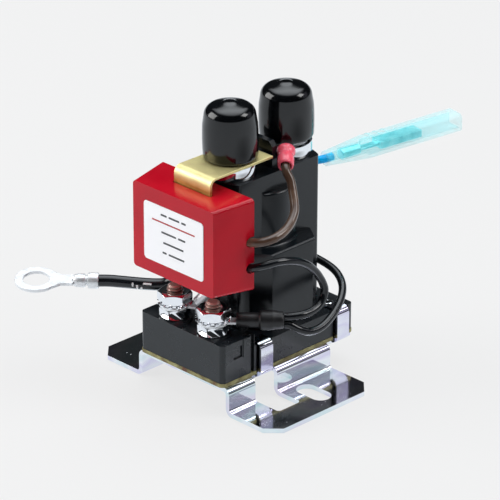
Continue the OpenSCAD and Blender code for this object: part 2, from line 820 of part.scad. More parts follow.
// Split spring washers, one on each main stud
module main_washers() {
    color(zinc) for (k = [0, 1]) translate([0, stud_y[k], washer_z[k]]) difference() {
        cylinder(d = stud_d + 5, h = washer_t);
        translate([0, 0, -1]) cylinder(d = stud_d, h = washer_t + 2);
        rotate(60) translate([stud_d / 2 + 1, 0, washer_t / 2]) rotate([30, 0, 0])
            cube([6, 0.6, washer_t * 3], center = true);
    }
}

module main_nut_front() {
    color(zinc) translate([0, stud_y[0], washer_z[0] + washer_t]) nut(nut_af, nut_h, stud_d);
}

module main_nut_rear() {
    color(zinc) translate([0, stud_y[1], washer_z[1] + washer_t]) nut(nut_af, nut_h, stud_d);
}

// Points of an arc, for the outline of a cap
function arc(cx, cz, r, a0, a1, n) = [for (i = [0:n]) let (a = a0 + (a1 - a0) * i / n)
    [cx + r * cos(a), cz + r * sin(a)]];

// A soft cap: slightly waisted wall, rounded edge and a shallow dome with a low nub in its middle
module cap(h) {
    r = cap_d / 2;
    top_r = r - 0.6;
    dome = 0.9;
    nub_r = 1.4;
    edge_turn = 78; // degrees of the rounded edge before the dome starts
    outside = concat([[0, 0], [r - 0.35, 0], [r - 0.1, 1], [r, h * 0.35], [r - 0.15, h * 0.6]],
        arc(top_r - cap_edge_r, h - dome - cap_edge_r, cap_edge_r, 0, edge_turn, 6),
        [[nub_r + 0.8, h - 0.35], [nub_r, h - 0.1], [nub_r / 2, h], [0, h]]);
    inner_r = r - cap_wall;
    inner_top = h - dome - 2 * cap_wall;
    difference() {
        rotate_extrude() polygon(outside);
        translate([0, 0, -1]) cylinder(r = inner_r, h = h * 0.45 + 1);
        translate([0, 0, h * 0.45 - 0.01]) cylinder(r1 = inner_r, r2 = inner_r - 1.6, h = inner_top - h * 0.45);
    }
}

module terminal_cap_front() {
    color([0.03, 0.03, 0.035]) translate([0, stud_y[0], link_z + fit]) cap(cap_h);
}

module terminal_cap_rear() {
    color([0.03, 0.03, 0.035]) translate([0, stud_y[1], main_ring_z + fit]) cap(cap_h - 0.4);
}

// Brass link

link_from = module_back - link_depth;
link_to = stud_y[0] + link_rear;
link_bend = 1.8;

// Side view along the relay: flat strap, bend and the leg that goes down into the module
module link_profile() {
    r = link_bend + link_t;
    leg_bottom = module_z + module_h - link_leg;
    translate([link_from + r, collar_z]) square([link_to - link_from - r, link_t]);
    translate([link_from + r, link_z - r]) intersection() {
        difference() {
            circle(r, $fn = 32);
            circle(link_bend, $fn = 32);
        }
        translate([-r, 0]) square(r);
    }
    translate([link_from, leg_bottom]) square([link_t, link_z - r - leg_bottom]);
}

module brass_link() {
    color(brass) difference() {
        translate([link_shift - link_w / 2, 0, 0]) rotate([90, 0, 90]) linear_extrude(link_w) link_profile();
        translate([0, stud_y[0], collar_z - 1]) cylinder(d = stud_d, h = link_t + 2);
    }
}

// Control module

module_mid_z = module_z + module_h / 2;

// A thin upright plate of the case's outline, whose rear face is at a place along the relay
module case_section(y, inset) {
    k = (y - module_front) / module_d;
    along_y(y - slice, y) translate([module_shift, module_mid_z])
        rounded_rect(module_w + draft_w * k - 2 * inset, module_h + draft_h * k - 2 * inset,
            max(case_r - inset, 0.3));
}

// The tapered body of the case between two places, drawn in by an inset
module case_body(from, to, inset) {
    hull() {
        case_section(from, inset);
        case_section(to, inset);
    }
}

// Round-bottomed notches in the back edge of the case, on the right side and below
module lead_notches() {
    side_r = brown_d / 2 + fit;
    lower_r = ground_d / 2 + fit / 2;
    for (exit = [brown_route[0], inner_route[0]]) hull() for (y = [exit[1], module_back + 3])
        translate([module_w / 2 - 3, y, exit[2]]) rotate([0, 90, 0]) cylinder(r = side_r, h = 8, $fn = 24);
    for (exit = [ground_route[0], left_route[5]]) hull() for (y = [exit[1], module_back + 3])
        translate([exit[0], y, module_z - 3]) cylinder(r = lower_r, h = 5.5, $fn = 24);
}

module module_case() {
    color([0.78, 0.08, 0.12]) difference() {
        case_body(module_front + slice, module_back, 0);
        case_body(module_front + case_wall, module_back + 0.1, case_wall);
        lead_notches();
        translate([link_shift - link_w / 2 - fit, link_from - fit, module_mid_z])
            cube([link_w + 2 * fit, link_t + 2 * fit, module_h]);
    }
}

module module_potting() {
    surface = module_back - 0.7;
    color([0.2, 0.2, 0.21]) difference() {
        case_body(module_front + case_wall, surface, case_wall + 0.02);
        for (route = [[brown_route[0], brown_route[1]], [inner_route[0], inner_route[1]]])
            bar(route[0], route[1], brown_d / 2 + 0.2, brown_d / 2 + 0.2);
        bar(ground_route[0], ground_route[1] - [0, 0, 4], ground_d / 2 + 0.1, ground_d / 2 + 0.1);
        bar(left_route[5], left_route[4] - [0, 0, 4], black_d / 2 + 0.1, black_d / 2 + 0.1);
        translate([link_shift - link_w / 2, link_from, module_z + module_h - link_leg])
            cube([link_w, link_t, big]);
        circuit_blank();
    }
}

board_t = 1.6;
board_w = 28;
board_h = 22;
board_y = module_front + 3.2;
switch_size = [10, 3.5, 7];
capacitor_d = 6;
capacitor_h = 4;
regulator_size = [6, 1.6, 5];

module circuit_blank() {
    translate([-board_w / 2, board_y, module_mid_z - board_h / 2]) cube([board_w, board_t, board_h]);
    front = board_y + board_t;
    translate([-8, front, module_mid_z - switch_size[2]]) cube(switch_size);
    translate([8, front, module_mid_z - 4]) rotate([-90, 0, 0])
        cylinder(d = capacitor_d, h = capacitor_h, $fn = 32);
    translate([-12, front, module_mid_z + 2]) cube(regulator_size);
}

module circuit_board() {
    color([0.1, 0.4, 0.2]) circuit_blank();
}

module module_label() {
    color([0.95, 0.95, 0.95]) along_y(module_front - label_t, module_front)
        translate([0, module_mid_z - 0.3]) rounded_rect(label_w, label_h, 1.2);
}

// Coil studs and their hardware

module coil_stud(side) {
    length = block_z + coil_stud_reach - stud_foot;
    tip = 0.5;
    color(copper_plate) translate([side * coil_stud_pitch / 2, coil_stud_place, stud_foot]) {
        cylinder(d = coil_stud_d, h = length - tip);
        translate([0, 0, length - tip]) cylinder(d1 = coil_stud_d, d2 = coil_stud_d - 1, h = tip);
    }
}

module coil_stud_left() {
    coil_stud(-1);
}

module coil_stud_right() {
    coil_stud(1);
}

module at_coil_studs(z) {
    for (x = [-1, 1]) translate([x * coil_stud_pitch / 2, coil_stud_place, z]) children();
}

module lower_coil_nuts() {
    color(zinc) at_coil_studs(block_z) rotate(22.5) nut(lower_nut_af, coil_nut_h, coil_stud_d);
}

module upper_coil_nuts() {
    color(zinc) at_coil_studs(star_top) rotate(11.25) nut(coil_nut_af, coil_nut_h, coil_stud_d);
}

// Washers with external teeth
module star_washers() {
    teeth = 12;
    color(zinc) at_coil_studs(coil_ring_top) difference() {
        union() {
            cylinder(d = star_d - 2, h = star_t, $fn = 48);
            for (k = [0:teeth - 1]) rotate(360 * k / teeth)
                translate([star_d / 4, -0.7, 0]) cube([star_d / 4, 1.4, star_t]);
        }
        translate([0, 0, -1]) cylinder(d = coil_stud_d, h = star_t + 2);
    }
}

// A flat ring with a tongue along +X
module ring_plate(ring_d, hole_d, tongue_w, tongue_l, t) {
    difference() {
        union() {
            cylinder(d = ring_d, h = t, $fn = 48);
            translate([0, -tongue_w / 2, 0]) cube([tongue_l, tongue_w, t]);
        }
        translate([0, 0, -1]) cylinder(d = hole_d, h = t + 2);
    }
}

module coil_ring_left() {
    from = [-coil_stud_pitch / 2, coil_stud_place, lower_nut_top];
    aim = left_barrel_from - from;
    reach = norm([aim[0], aim[1]]);
    color(tin) difference() {
        union() {
            translate(from) rotate(atan2(aim[1], aim[0]))
                ring_plate(coil_nut_af, coil_stud_d, 3.4, reach + 1.8, ring_t);
            bar(left_barrel_from, left_barrel_to, 1.9, 1.9);
        }
        bar(left_route[0], left_route[1] + unit(left_route[1] - left_route[0]),
            black_d / 2 + 0.1, black_d / 2 + 0.1);
    }
}

module coil_ring_right() {
    color(tin) translate([coil_stud_pitch / 2, coil_stud_place, lower_nut_top]) rotate(sleeve_angle)
        ring_plate(coil_nut_af, coil_stud_d, 3.6, sleeve_start + 3, ring_t);
}

// Sleeve over the crimp: long neck, block and taper to the leads
module crimp_sleeve() {
    shape = [[0, 0], [sleeve_neck_r - 0.3, 0], [sleeve_neck_r, 0.4], [sleeve_neck_r, sleeve_neck_l],
        [sleeve_r, sleeve_neck_l + 0.5], [sleeve_r, sleeve_l - 3], [sleeve_r - 0.5, sleeve_l], [0, sleeve_l]];
    tongue = [sleeve_start + 3, 3.6, ring_t];
    color(black_plastic) difference() {
        translate([coil_stud_pitch / 2, coil_stud_place, sleeve_z]) rotate([0, 90, sleeve_angle])
            translate([0, 0, sleeve_start]) rotate_extrude($fn = 48) polygon(shape);
        // slot that holds the tongue of the terminal
        translate([coil_stud_pitch / 2, coil_stud_place, lower_nut_top]) rotate(sleeve_angle)
            translate([0, -tongue[1] / 2, 0]) cube(tongue);
    }
}

// Terminal of the brown lead

module main_ring_terminal() {
    color(tin) translate([0, stud_y[1], collar_z]) rotate(main_ring_angle) {
        ring_plate(main_ring_d, stud_d, main_tongue_w, main_tongue_l, ring_t);
    }
}

// Flared end over the terminal's tongue, waist, and barrel that dips towards the lead
module red_insulator() {
    flare_r = main_barrel_r + 0.35;
    waist_r = main_barrel_r - 0.3;
    shape = [[0, 0], [flare_r, 0], [flare_r, main_barrel_l * 0.16], [waist_r, main_barrel_l * 0.34],
        [main_barrel_r, main_barrel_l * 0.5], [main_barrel_r, main_barrel_l * 0.85],
        [waist_r, main_barrel_l], [0, main_barrel_l]];
    color([0.85, 0.12, 0.2]) difference() {
        translate([0, stud_y[1], collar_z + ring_t / 2]) rotate(main_ring_angle)
            translate([main_barrel_from, 0, 0]) rotate([0, 90 + main_barrel_tilt, 0])
                rotate_extrude($fn = 48) polygon(shape);
        translate([0, stud_y[1], collar_z]) rotate(main_ring_angle) translate([0, -main_tongue_w / 2, 0])
            cube([main_tongue_l, main_tongue_w, ring_t]);
        tube(brown_route, brown_d);
    }
}

// Leads

module brown_lead() {
    color([0.45, 0.36, 0.32]) tube(brown_route, brown_d);
}

module black_lead_inner() {
    color([0.05, 0.05, 0.06]) tube(inner_route, black_d);
}

module black_lead_outer() {
    color([0.05, 0.05, 0.06]) tube(outer_route, black_d);
}

module coil_lead_left() {
    color([0.05, 0.05, 0.06]) tube(left_route, black_d);
}

module ground_lead() {
    color([0.05, 0.05, 0.06]) tube(ground_route, ground_d);
}

// Crimp, tapered barrel, tongue and ring at the end of the ground lead
module ground_ring_terminal() {
    ring_r = ground_ring_d / 2;
    tongue_from = ground_barrel_l - 0.2;
    tongue_to = ground_ring_x - ring_r;
    color(tin) translate(ground_end) rotate([0, 0, ground_angle]) rotate([ground_tilt, 0, 0]) {
        translate([0, 0, -ground_ring_t / 2]) linear_extrude(ground_ring_t) difference() {
            union() {
                translate([ground_ring_x, 0]) circle(ring_r);
                polygon([[tongue_from, -ground_tongue_w / 2], [tongue_to - 1, -ground_tongue_w / 2],
                    [tongue_to + ring_r * 0.3, -ring_r * 0.7], [tongue_to + ring_r * 0.3, ring_r * 0.7],
                    [tongue_to - 1, ground_tongue_w / 2], [tongue_from, ground_tongue_w / 2]]);
            }
            translate([ground_ring_x, 0]) circle(d = ground_hole_d);
        }
        rotate([0, 90, 0]) cylinder(d = ground_d + 1.2, h = ground_crimp_l, $fn = 32);
        translate([ground_crimp_l, 0, 0]) rotate([0, 90, 0])
            cylinder(d1 = ground_d + 0.6, d2 = 3, h = ground_barrel_l - ground_crimp_l, $fn = 32);
    }
}

module override_lead() {
    color([0.05, 0.35, 0.7]) tube(override_route, override_d);
}

// Moves its children to the start of the boot, with +X along it
module at_boot() {
    translate(boot_from) rotate([0, -boot_rise, boot_angle]) children();
}

module boot_section(x, w, h, r) {
    translate([x, 0, 0]) rotate([90, 0, 90]) linear_extrude(slice) rounded_rect(w, h, r);
}

// Tapered neck, then a straight box with a mouth at its far end
module connector_boot() {
    neck = boot_l * 0.3;
    color([0.55, 0.9, 0.95, 0.6]) at_boot() difference() {
        union() {
            hull() {
                boot_section(0, 4.6, 4.6, 2);
                boot_section(neck, boot_w, boot_h, 1.4);
            }
            translate([neck, 0, 0]) rotate([90, 0, 90]) linear_extrude(boot_l - neck)
                rounded_rect(boot_w, boot_h, 1.4);
            for (k = [0:2]) translate([neck + 2 + 3 * k, 0, boot_h / 2]) cube([1, boot_w - 3, 0.8], center = true);
        }
        translate([-1, 0, 0]) rotate([0, 90, 0]) cylinder(d = override_d + 0.3, h = 7, $fn = 32);
        translate([5.9, 0, 0]) rotate([90, 0, 90]) linear_extrude(boot_l) rounded_rect(3.6, 3.4, 0.6);
        translate([neck, 0, 0]) rotate([90, 0, 90]) linear_extrude(boot_l) rounded_rect(boot_w - 1.6, 3.8, 0.6);
    }
}

// Crimp barrel, strip and receptacle inside the boot
blade_from = 6;
blade_barrel = [7, override_d + 0.6]; // length and diameter
blade_strip = [7, 2.4, 0.8];
blade_end = [16, 4.8, 2.4];

module blade_terminal() {
    strip_from = blade_from + blade_barrel[0];
    end_from = strip_from + blade_strip[0];
    color(tin) at_boot() {
        translate([blade_from, 0, 0]) rotate([0, 90, 0]) cylinder(d = blade_barrel[1], h = blade_barrel[0], $fn = 32);
        translate([strip_from, -blade_strip[1] / 2, -blade_strip[2] / 2]) cube(blade_strip);
        translate([end_from, -blade_end[1] / 2, -blade_end[2] / 2]) cube(blade_end);
    }
}

mounting_bracket();
base_gasket();
terminal_base();
body_cover();
base_eyelets();
yoke_frame();
flux_plate();
fixed_core();
coil_bobbin();
coil_winding();
plunger();
push_rod();
contact_bush();
contact_disc();
rod_clip();
return_spring();
main_stud_front();
main_stud_rear();
stud_collar_front();
stud_collar_rear();
main_washers();
main_nut_front();
main_nut_rear();
terminal_cap_front();
terminal_cap_rear();
brass_link();
module_case();
module_potting();
circuit_board();
module_label();
coil_stud_left();
coil_stud_right();
lower_coil_nuts();
upper_coil_nuts();
star_washers();
coil_ring_left();
coil_ring_right();
crimp_sleeve();
main_ring_terminal();
red_insulator();
brown_lead();
black_lead_inner();
black_lead_outer();
coil_lead_left();
ground_lead();
ground_ring_terminal();
override_lead();
blade_terminal();
connector_boot();
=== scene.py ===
"""Looks of the battery isolator relay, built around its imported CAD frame.

Metres, in the CAD's own frame: +Z is up and -Y is the side of the control module.
Sizes that are easier to read in millimetres are multiplied by MM.
"""

import math

import bmesh
import bpy
from mathutils import Matrix, Vector


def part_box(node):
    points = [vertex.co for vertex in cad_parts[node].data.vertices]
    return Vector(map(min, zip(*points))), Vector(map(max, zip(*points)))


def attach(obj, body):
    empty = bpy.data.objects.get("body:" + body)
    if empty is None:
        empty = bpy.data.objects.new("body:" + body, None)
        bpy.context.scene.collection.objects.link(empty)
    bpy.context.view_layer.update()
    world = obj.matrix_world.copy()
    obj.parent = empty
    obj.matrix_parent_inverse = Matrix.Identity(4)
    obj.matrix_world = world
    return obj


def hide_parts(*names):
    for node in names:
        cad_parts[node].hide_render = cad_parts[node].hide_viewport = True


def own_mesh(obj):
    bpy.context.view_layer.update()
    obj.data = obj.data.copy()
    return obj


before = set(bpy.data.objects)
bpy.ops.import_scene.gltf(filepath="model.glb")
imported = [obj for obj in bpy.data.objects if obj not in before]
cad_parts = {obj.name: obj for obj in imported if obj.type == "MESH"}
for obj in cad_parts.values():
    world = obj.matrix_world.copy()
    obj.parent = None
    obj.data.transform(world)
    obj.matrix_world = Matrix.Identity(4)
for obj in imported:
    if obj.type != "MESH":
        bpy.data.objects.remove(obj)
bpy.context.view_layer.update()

bl_info = {
    "name": "Battery isolator relay",
    "version": (1, 0, 0),
    "blender": (4, 5, 0),
    "location": "View3D > Sidebar > Relay",
    "description": "Builds the looks of a battery isolator relay around its CAD frame",
    "category": "Object",
}

MM = 0.001
ROOT = "relay"

# Lead routes of the CAD source, in millimetres
BROWN_ROUTE = [(16.5, -18.4, 55.2), (19.5, -18.4, 55.2), (22.6, -17.4, 55.8), (24.4, -14, 56.5),
    (24.4, -9.6, 57.3), (23.1, -5.2, 58.6), (21.2, -1.6, 61), (18.4, 0.6, 64.4), (15.8, 2, 68),
    (14.2, 2, 70), (12.7, 3, 71.3), (9.9, 5.9, 72.4)]
INNER_ROUTE = [(16.5, -18.4, 46.6), (19.8, -18.4, 46.7), (23.3, -16.8, 48.1), (25.3, -12, 48.6),
    (26.3, -5.6, 47), (26.4, 0, 43.4), (26.2, 4.4, 38.4), (26.4, 6.4, 33.6), (26.6, 4.8, 30),
    (26.9, 1, 28.6), (26.7, -3.4, 28.5), (24.9, -7.1, 28.5), (23.8, -8.2, 28.5)]
OUTER_ROUTE = [(-13, -18, 46), (-13, -16, 46), (-14.6, -13.2, 45.6), (-17, -9, 44), (-18, -2, 41),
    (-18, 6, 38), (-16.6, 14, 35), (-12.5, 21, 32.6), (-6, 25, 31), (2, 26, 30.4), (10.5, 25, 30.2),
    (16.6, 23, 29.4), (21.4, 19.6, 27.8), (24.9, 14.4, 25.6), (27, 8.6, 23.6), (28, 3.2, 22.4),
    (27.8, -1.6, 22.6), (26.6, -5, 24.2), (24.9, -7.1, 25.8), (23.8, -8.2, 25.9)]
LEFT_ROUTE = [(0.5, -18.1, 31.7), (2.4, -17.15, 34.1), (2.9, -17.3, 36), (3, -18.4, 38.2),
    (3, -19.2, 40.4), (3, -19.2, 42)]
GROUND_ROUTE = [(-12.8, -18.8, 42.4), (-12.8, -18.8, 39.6), (-12.8, -18.3, 36.6), (-13.3, -17.6, 33.6),
    (-14.8, -17.7, 30.9), (-17.5, -19.4, 29.2), (-21.4, -22.3, 28.8), (-26.4, -26, 28.9),
    (-31.1, -29.4, 29), (-33.7, -31.9, 29)]
OVERRIDE_ROUTE = [(-13.5, -18, 59.6), (-13.5, -15.6, 59.6), (-14, -12, 60.2), (-14.6, -6, 61),
    (-14.8, 2, 61.6), (-14.4, 9, 62), (-13, 15, 62), (-11.4, 20, 62), (-8.2, 23.6, 62), (-4.4, 25.6, 62),
    (-1.2, 26.8, 62), (0.9, 28.6, 62), (1.9, 31.2, 62), (2.4, 34, 62.1)]

# Rows of plain bars on the label: height above its middle, and the bars' widths, in millimetres
LABEL_ROWS = [(6.9, (2.6, 4.6, 1.9)), (1.2, (6.4, 3.1)), (-2.1, (8.8,)), (-5.4, (1.8, 6.8))]

# Bars of the earth sign on the ground lead: place and width along the lead in millimetres, and angle round it
EARTH_BARS = [(1.9, 0.6, 110), (3.3, 0.6, 72), (4.7, 0.6, 36), (0.1, 2.6, 18)]
EARTH_RADIUS = 1.89
EARTH_THICK = 0.06
EARTH_FACING = Vector((0.6447, -0.6385, 0.85))

# Leads, in millimetres, and the turns of the terminals at their ends
GROUND_DIAMETER = 3.8
OVERRIDE_DIAMETER = 2.6
GROUND_TURN = Matrix.Rotation(math.radians(223.8), 4, "Z") @ Matrix.Rotation(math.radians(-7), 4, "X")
GROUND_BARREL = 7.9
LYING = Matrix.Rotation(math.radians(90), 4, "Y")

# Horizontal direction from the relay to the camera
TO_CAMERA = Vector((0.7105, -0.7037, 0))

# The cover's two chambers, in millimetres: their upper edges, and how far out from the middle these start
CHAMBER_TOP = 45.2
CHAMBER_SIDE = 9.1
CONTACT_TOP = 62.8
CONTACT_SIDE = 11.4
COIL_AXIS = Vector((0, 4.2, 0))

# Small fasteners and the caps' shoulders, in millimetres
STUD_BORE = 4.8
WASHER_OUTER = 11.0
WASHER_TEETH = 12
CAP_SHOULDER = 3.6

# An edge that turns by more than this many degrees is rounded
SHARP = 32


class RelayFinishes(bpy.types.PropertyGroup):
    """Colours of the relay's finishes."""

    cover: bpy.props.FloatVectorProperty(
        name="Black mouldings", description="Colour of the base and the body cover",
        default=(0.0050, 0.0070, 0.0092), size=3, min=0, max=1, subtype="COLOR")
    case: bpy.props.FloatVectorProperty(
        name="Red case", description="Colour of the control module's case",
        default=(0.47, 0.0016, 0.013), size=3, min=0, max=1, subtype="COLOR")
    brass: bpy.props.FloatVectorProperty(
        name="Brass", description="Colour of the brass link",
        default=(0.85, 0.75, 0.36), size=3, min=0, max=1, subtype="COLOR")
    zinc: bpy.props.FloatVectorProperty(
        name="Zinc plate", description="Colour of the plated bracket",
        default=(0.86, 0.87, 0.90), size=3, min=0, max=1, subtype="COLOR")
    tin: bpy.props.FloatVectorProperty(
        name="Tin plate", description="Colour of the terminals",
        default=(0.84, 0.85, 0.86), size=3, min=0, max=1, subtype="COLOR")
    thread: bpy.props.FloatVectorProperty(
        name="Copper flash", description="Colour of the small threaded studs",
        default=(0.72, 0.52, 0.45), size=3, min=0, max=1, subtype="COLOR")
    insulator: bpy.props.FloatVectorProperty(
        name="Red insulator", description="Colour of the clear red sleeve on the main terminal",
        default=(0.95, 0.13, 0.19), size=3, min=0, max=1, subtype="COLOR")
    brown: bpy.props.FloatVectorProperty(
        name="Brown lead", description="Colour of the brown insulation",
        default=(0.085, 0.045, 0.028), size=3, min=0, max=1, subtype="COLOR")
    blue: bpy.props.FloatVectorProperty(
        name="Blue lead", description="Colour of the blue insulation",
        default=(0.0, 0.40, 0.84), size=3, min=0, max=1, subtype="COLOR")
    boot: bpy.props.FloatVectorProperty(
        name="Clear boot", description="Colour of the clear connector boot",
        default=(0.17, 0.96, 1.0), size=3, min=0, max=1, subtype="COLOR")


class RelayShapes(bpy.types.PropertyGroup):
    """Small sizes that only the looks have."""

    sheet_edge: bpy.props.FloatProperty(
        name="Sheet edge", description="Rounding of the bracket's cut edges",
        default=0.16 * MM, min=0.02 * MM, max=0.4 * MM, unit="LENGTH", precision=5)
    mould_edge: bpy.props.FloatProperty(
        name="Moulding edge", description="Rounding of the black mouldings' edges",
        default=0.35 * MM, min=0.05 * MM, max=0.6 * MM, unit="LENGTH", precision=5)
    case_edge: bpy.props.FloatProperty(
        name="Case edge", description="Rounding of the red case's edges",
        default=0.38 * MM, min=0.1 * MM, max=0.8 * MM, unit="LENGTH", precision=5)
    thread_pitch: bpy.props.FloatProperty(
        name="Thread pitch", description="Pitch of the small studs' thread",
        default=1.2 * MM, min=0.5 * MM, max=1.4 * MM, unit="LENGTH", precision=5)
    tooth_twist: bpy.props.FloatProperty(
        name="Tooth twist", description="Twist of each tooth of the star washers",
        default=math.radians(24), min=0, max=math.radians(40), subtype="ANGLE")
    lead_sides: bpy.props.IntProperty(
        name="Lead smoothness", description="Resolution round each lead", default=8, min=3, max=12)


class RelayStage(bpy.types.PropertyGroup):
    """The camera, the floor and the lights."""

    camera_place: bpy.props.FloatVectorProperty(
        name="Camera", description="Place of the camera", default=(0.69805, -0.69072, 0.49490),
        size=3, subtype="TRANSLATION", unit="LENGTH")
    camera_target: bpy.props.FloatVectorProperty(
        name="Target", description="Point that the camera looks at", default=(0.00458, -0.00400, 0.04306),
        size=3, subtype="TRANSLATION", unit="LENGTH")
    camera_roll: bpy.props.FloatProperty(
        name="Roll", description="Turn of the camera about its own axis",
        default=math.radians(0.14), subtype="ANGLE")
    lens: bpy.props.FloatProperty(
        name="Lens", description="Focal length on a 36 mm sensor, in millimetres",
        default=253.2, min=50, max=400)
    floor: bpy.props.FloatVectorProperty(
        name="Floor", description="Colour of the floor and the backdrop",
        default=(0.845, 0.843, 0.841), size=3, min=0, max=1, subtype="COLOR")
    mirrored: bpy.props.FloatVectorProperty(
        name="Mirrored floor", description="Colour of the floor as the relay mirrors it",
        default=(0.79, 0.84, 0.89), size=3, min=0, max=1, subtype="COLOR")
    overhead_power: bpy.props.FloatProperty(
        name="Overhead light", description="Power of the wide light above",
        default=2.6, min=0, subtype="POWER")
    left_power: bpy.props.FloatProperty(
        name="Left light", description="Power of the light at the front left",
        default=7.1, min=0, subtype="POWER")
    right_power: bpy.props.FloatProperty(
        name="Right light", description="Power of the light at the rear right",
        default=3.0, min=0, subtype="POWER")


# Selecting and finishing pieces

def clear_selection():
    if bpy.context.object is not None and bpy.context.object.mode != "OBJECT":
        bpy.ops.object.mode_set(mode="OBJECT")
    bpy.ops.object.select_all(action="DESELECT")


def choose(*pieces):
    clear_selection()
    for piece in pieces:
        piece.select_set(True)
    bpy.context.view_layer.objects.active = pieces[0]


def edit(piece):
    """Edit mode on one piece, with all of it selected."""
    choose(piece)
    bpy.ops.object.mode_set(mode="EDIT")
    bpy.ops.mesh.select_mode(type="VERT")
    bpy.ops.mesh.select_all(action="SELECT")


def done():
    bpy.ops.object.mode_set(mode="OBJECT")


def round_places(piece, width, segments, test):
    """Bevels the edges whose ends pass a test, which is given both ends in millimetres."""
    edit(piece)
    bpy.ops.mesh.select_mode(type="EDGE")
    bpy.ops.mesh.select_all(action="DESELECT")
    mesh = bmesh.from_edit_mesh(piece.data)
    for edge in mesh.edges:
        if len(edge.link_faces) == 2 and edge.calc_face_angle() > math.radians(SHARP):
            if test(edge.verts[0].co / MM, edge.verts[1].co / MM):
                edge.select_set(True)
    bmesh.update_edit_mesh(piece.data)
    bpy.ops.mesh.bevel(offset=width, segments=segments, affect="EDGES", miter_outer="ARC")
    done()
    return piece


def apply_modifiers(piece):
    choose(piece)
    for modifier in list(piece.modifiers):
        bpy.ops.object.modifier_apply(modifier=modifier.name)


def smooth(piece, angle):
    choose(piece)
    bpy.ops.object.shade_smooth_by_angle(angle=math.radians(angle))


def round_edges(piece, width, segments=3, angle=SHARP):
    """Bevels the sharp edges and keeps the flats flat in the shading."""
    bevel = piece.modifiers.new("Edges", "BEVEL")
    bevel.width = width
    bevel.segments = segments
    bevel.limit_method = "ANGLE"
    bevel.angle_limit = math.radians(angle)
    bevel.miter_outer = "MITER_ARC"
    apply_modifiers(piece)
    smooth(piece, 40)
    flats = piece.modifiers.new("Flats", "WEIGHTED_NORMAL")
    flats.keep_sharp = True
    flats.weight = 70
    apply_modifiers(piece)
    return piece


def place(piece, at=(0, 0, 0), turn=None):
    """Turns and moves a piece that was made at the origin, in millimetres, and applies its place."""
    piece.matrix_world = Matrix.Translation(Vector(at) * MM) @ (turn or Matrix.Identity(4))
    choose(piece)
    bpy.ops.object.transform_apply(location=True, rotation=True, scale=True)
    return piece


def hand_in(piece, finish, slot, *nodes):
    """Gives a finished piece its finish and its body, and hides the CAD nodes that it stands for. The slot is
    not used.
    """
    choose(piece)
    bpy.ops.object.transform_apply(location=True, rotation=True, scale=True)
    piece.data.materials.clear()
    piece.data.materials.append(finish_of(finish))
    for polygon in getattr(piece.data, "polygons", []):
        polygon.material_index = 0
    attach(piece, ROOT)
    if nodes:
        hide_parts(*nodes)
    return piece


def finish_node(node, finish):
    """A CAD node that stays as it is gets its finish."""
    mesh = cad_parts[node].data
    mesh.materials.clear()
    mesh.materials.append(finish_of(finish))


def copy_of(node, name):
    """A mesh of its own with a CAD node's shape, its triangles joined and its flat faces whole."""
    piece = bpy.data.objects.new(name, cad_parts[node].data.copy())
    bpy.context.scene.collection.objects.link(piece)
    choose(piece)
    if piece.data.has_custom_normals:
        bpy.ops.mesh.customdata_custom_splitnormals_clear()
    edit(piece)
    bpy.ops.mesh.remove_doubles(threshold=0.003 * MM)
    bpy.ops.mesh.dissolve_limited(angle_limit=math.radians(1.0))
    done()
    return piece


def dress(node, name, edge, finish, slot, segments=3, angle=SHARP):
    """A copy of a CAD node with rounded edges and its finish, in place of the node."""
    piece = copy_of(node, name)
    round_edges(piece, edge, segments, angle)
    return hand_in(piece, finish, slot, node)


def repeated(piece, count):
    """A piece and its copies, each with a mesh of its own."""
    pieces = [piece]
    while len(pieces) < count:
        twin = piece.copy()
        twin.data = piece.data.copy()
        bpy.context.scene.collection.objects.link(twin)
        pieces.append(twin)
    return pieces


def middle_of(node):
    """Middle of a CAD node's box, in millimetres."""
    low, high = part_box(node)
    return (low + high) / 2 / MM


def height_of(node):
    """Height of a CAD node, in millimetres."""
    low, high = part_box(node)
    return (high.z - low.z) / MM


def radius_and_foot(node):
    """Radius of a round CAD node that stands on the relay's middle plane, and the middle of its underside."""
    low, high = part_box(node)
    return (high.x - low.x) / 2 / MM, (0, (low.y + high.y) / 2 / MM, low.z / MM)


def heading(angle):
    """Level direction at an angle from +X, in degrees."""
    return Vector((math.cos(math.radians(angle)), math.sin(math.radians(angle)), 0))


def joined(first, *others):
    choose(first, *others)
    bpy.ops.object.join()
    return first


def box(name, size, at):
    """A block that is added at its size and place, in millimetres."""
    clear_selection()
    bpy.ops.mesh.primitive_cube_add(size=1, location=[v * MM for v in at], scale=[v * MM for v in size])
    piece = bpy.context.object
    piece.name = name
    bpy.ops.object.transform_apply(location=True, rotation=True, scale=True)
    return piece


def turned(name, outline, steps=64):
    """A turned piece about the Z axis. A point is extruded along its outline, (radius, height) in
    millimetres, and spun. An outline that ends where it starts makes a ring."""
    clear_selection()
    bpy.ops.mesh.primitive_circle_add(vertices=3, radius=MM)
    piece = bpy.context.object
    piece.name = name
    edit(piece)
    bpy.ops.mesh.merge(type="CENTER")
    bpy.ops.transform.translate(value=(outline[0][0] * MM, 0, outline[0][1] * MM))
    for (r0, z0), (r1, z1) in zip(outline, outline[1:]):
        bpy.ops.mesh.extrude_region_move(
            TRANSFORM_OT_translate={"value": ((r1 - r0) * MM, 0, (z1 - z0) * MM)})
    bpy.ops.mesh.select_all(action="SELECT")
    bpy.ops.mesh.spin(steps=steps, angle=math.tau, center=(0, 0, 0), axis=(0, 0, 1))
    bpy.ops.mesh.select_all(action="SELECT")
    bpy.ops.mesh.remove_doubles(threshold=0.002 * MM)
    bpy.ops.mesh.normals_make_consistent(inside=False)
    done()
    return piece


def arc(cr, cz, r, start, end, count):
    """Points of an arc of an outline."""
    return [(cr + r * math.cos(math.radians(start + (end - start) * i / count)),
             cz + r * math.sin(math.radians(start + (end - start) * i / count))) for i in range(count + 1)]


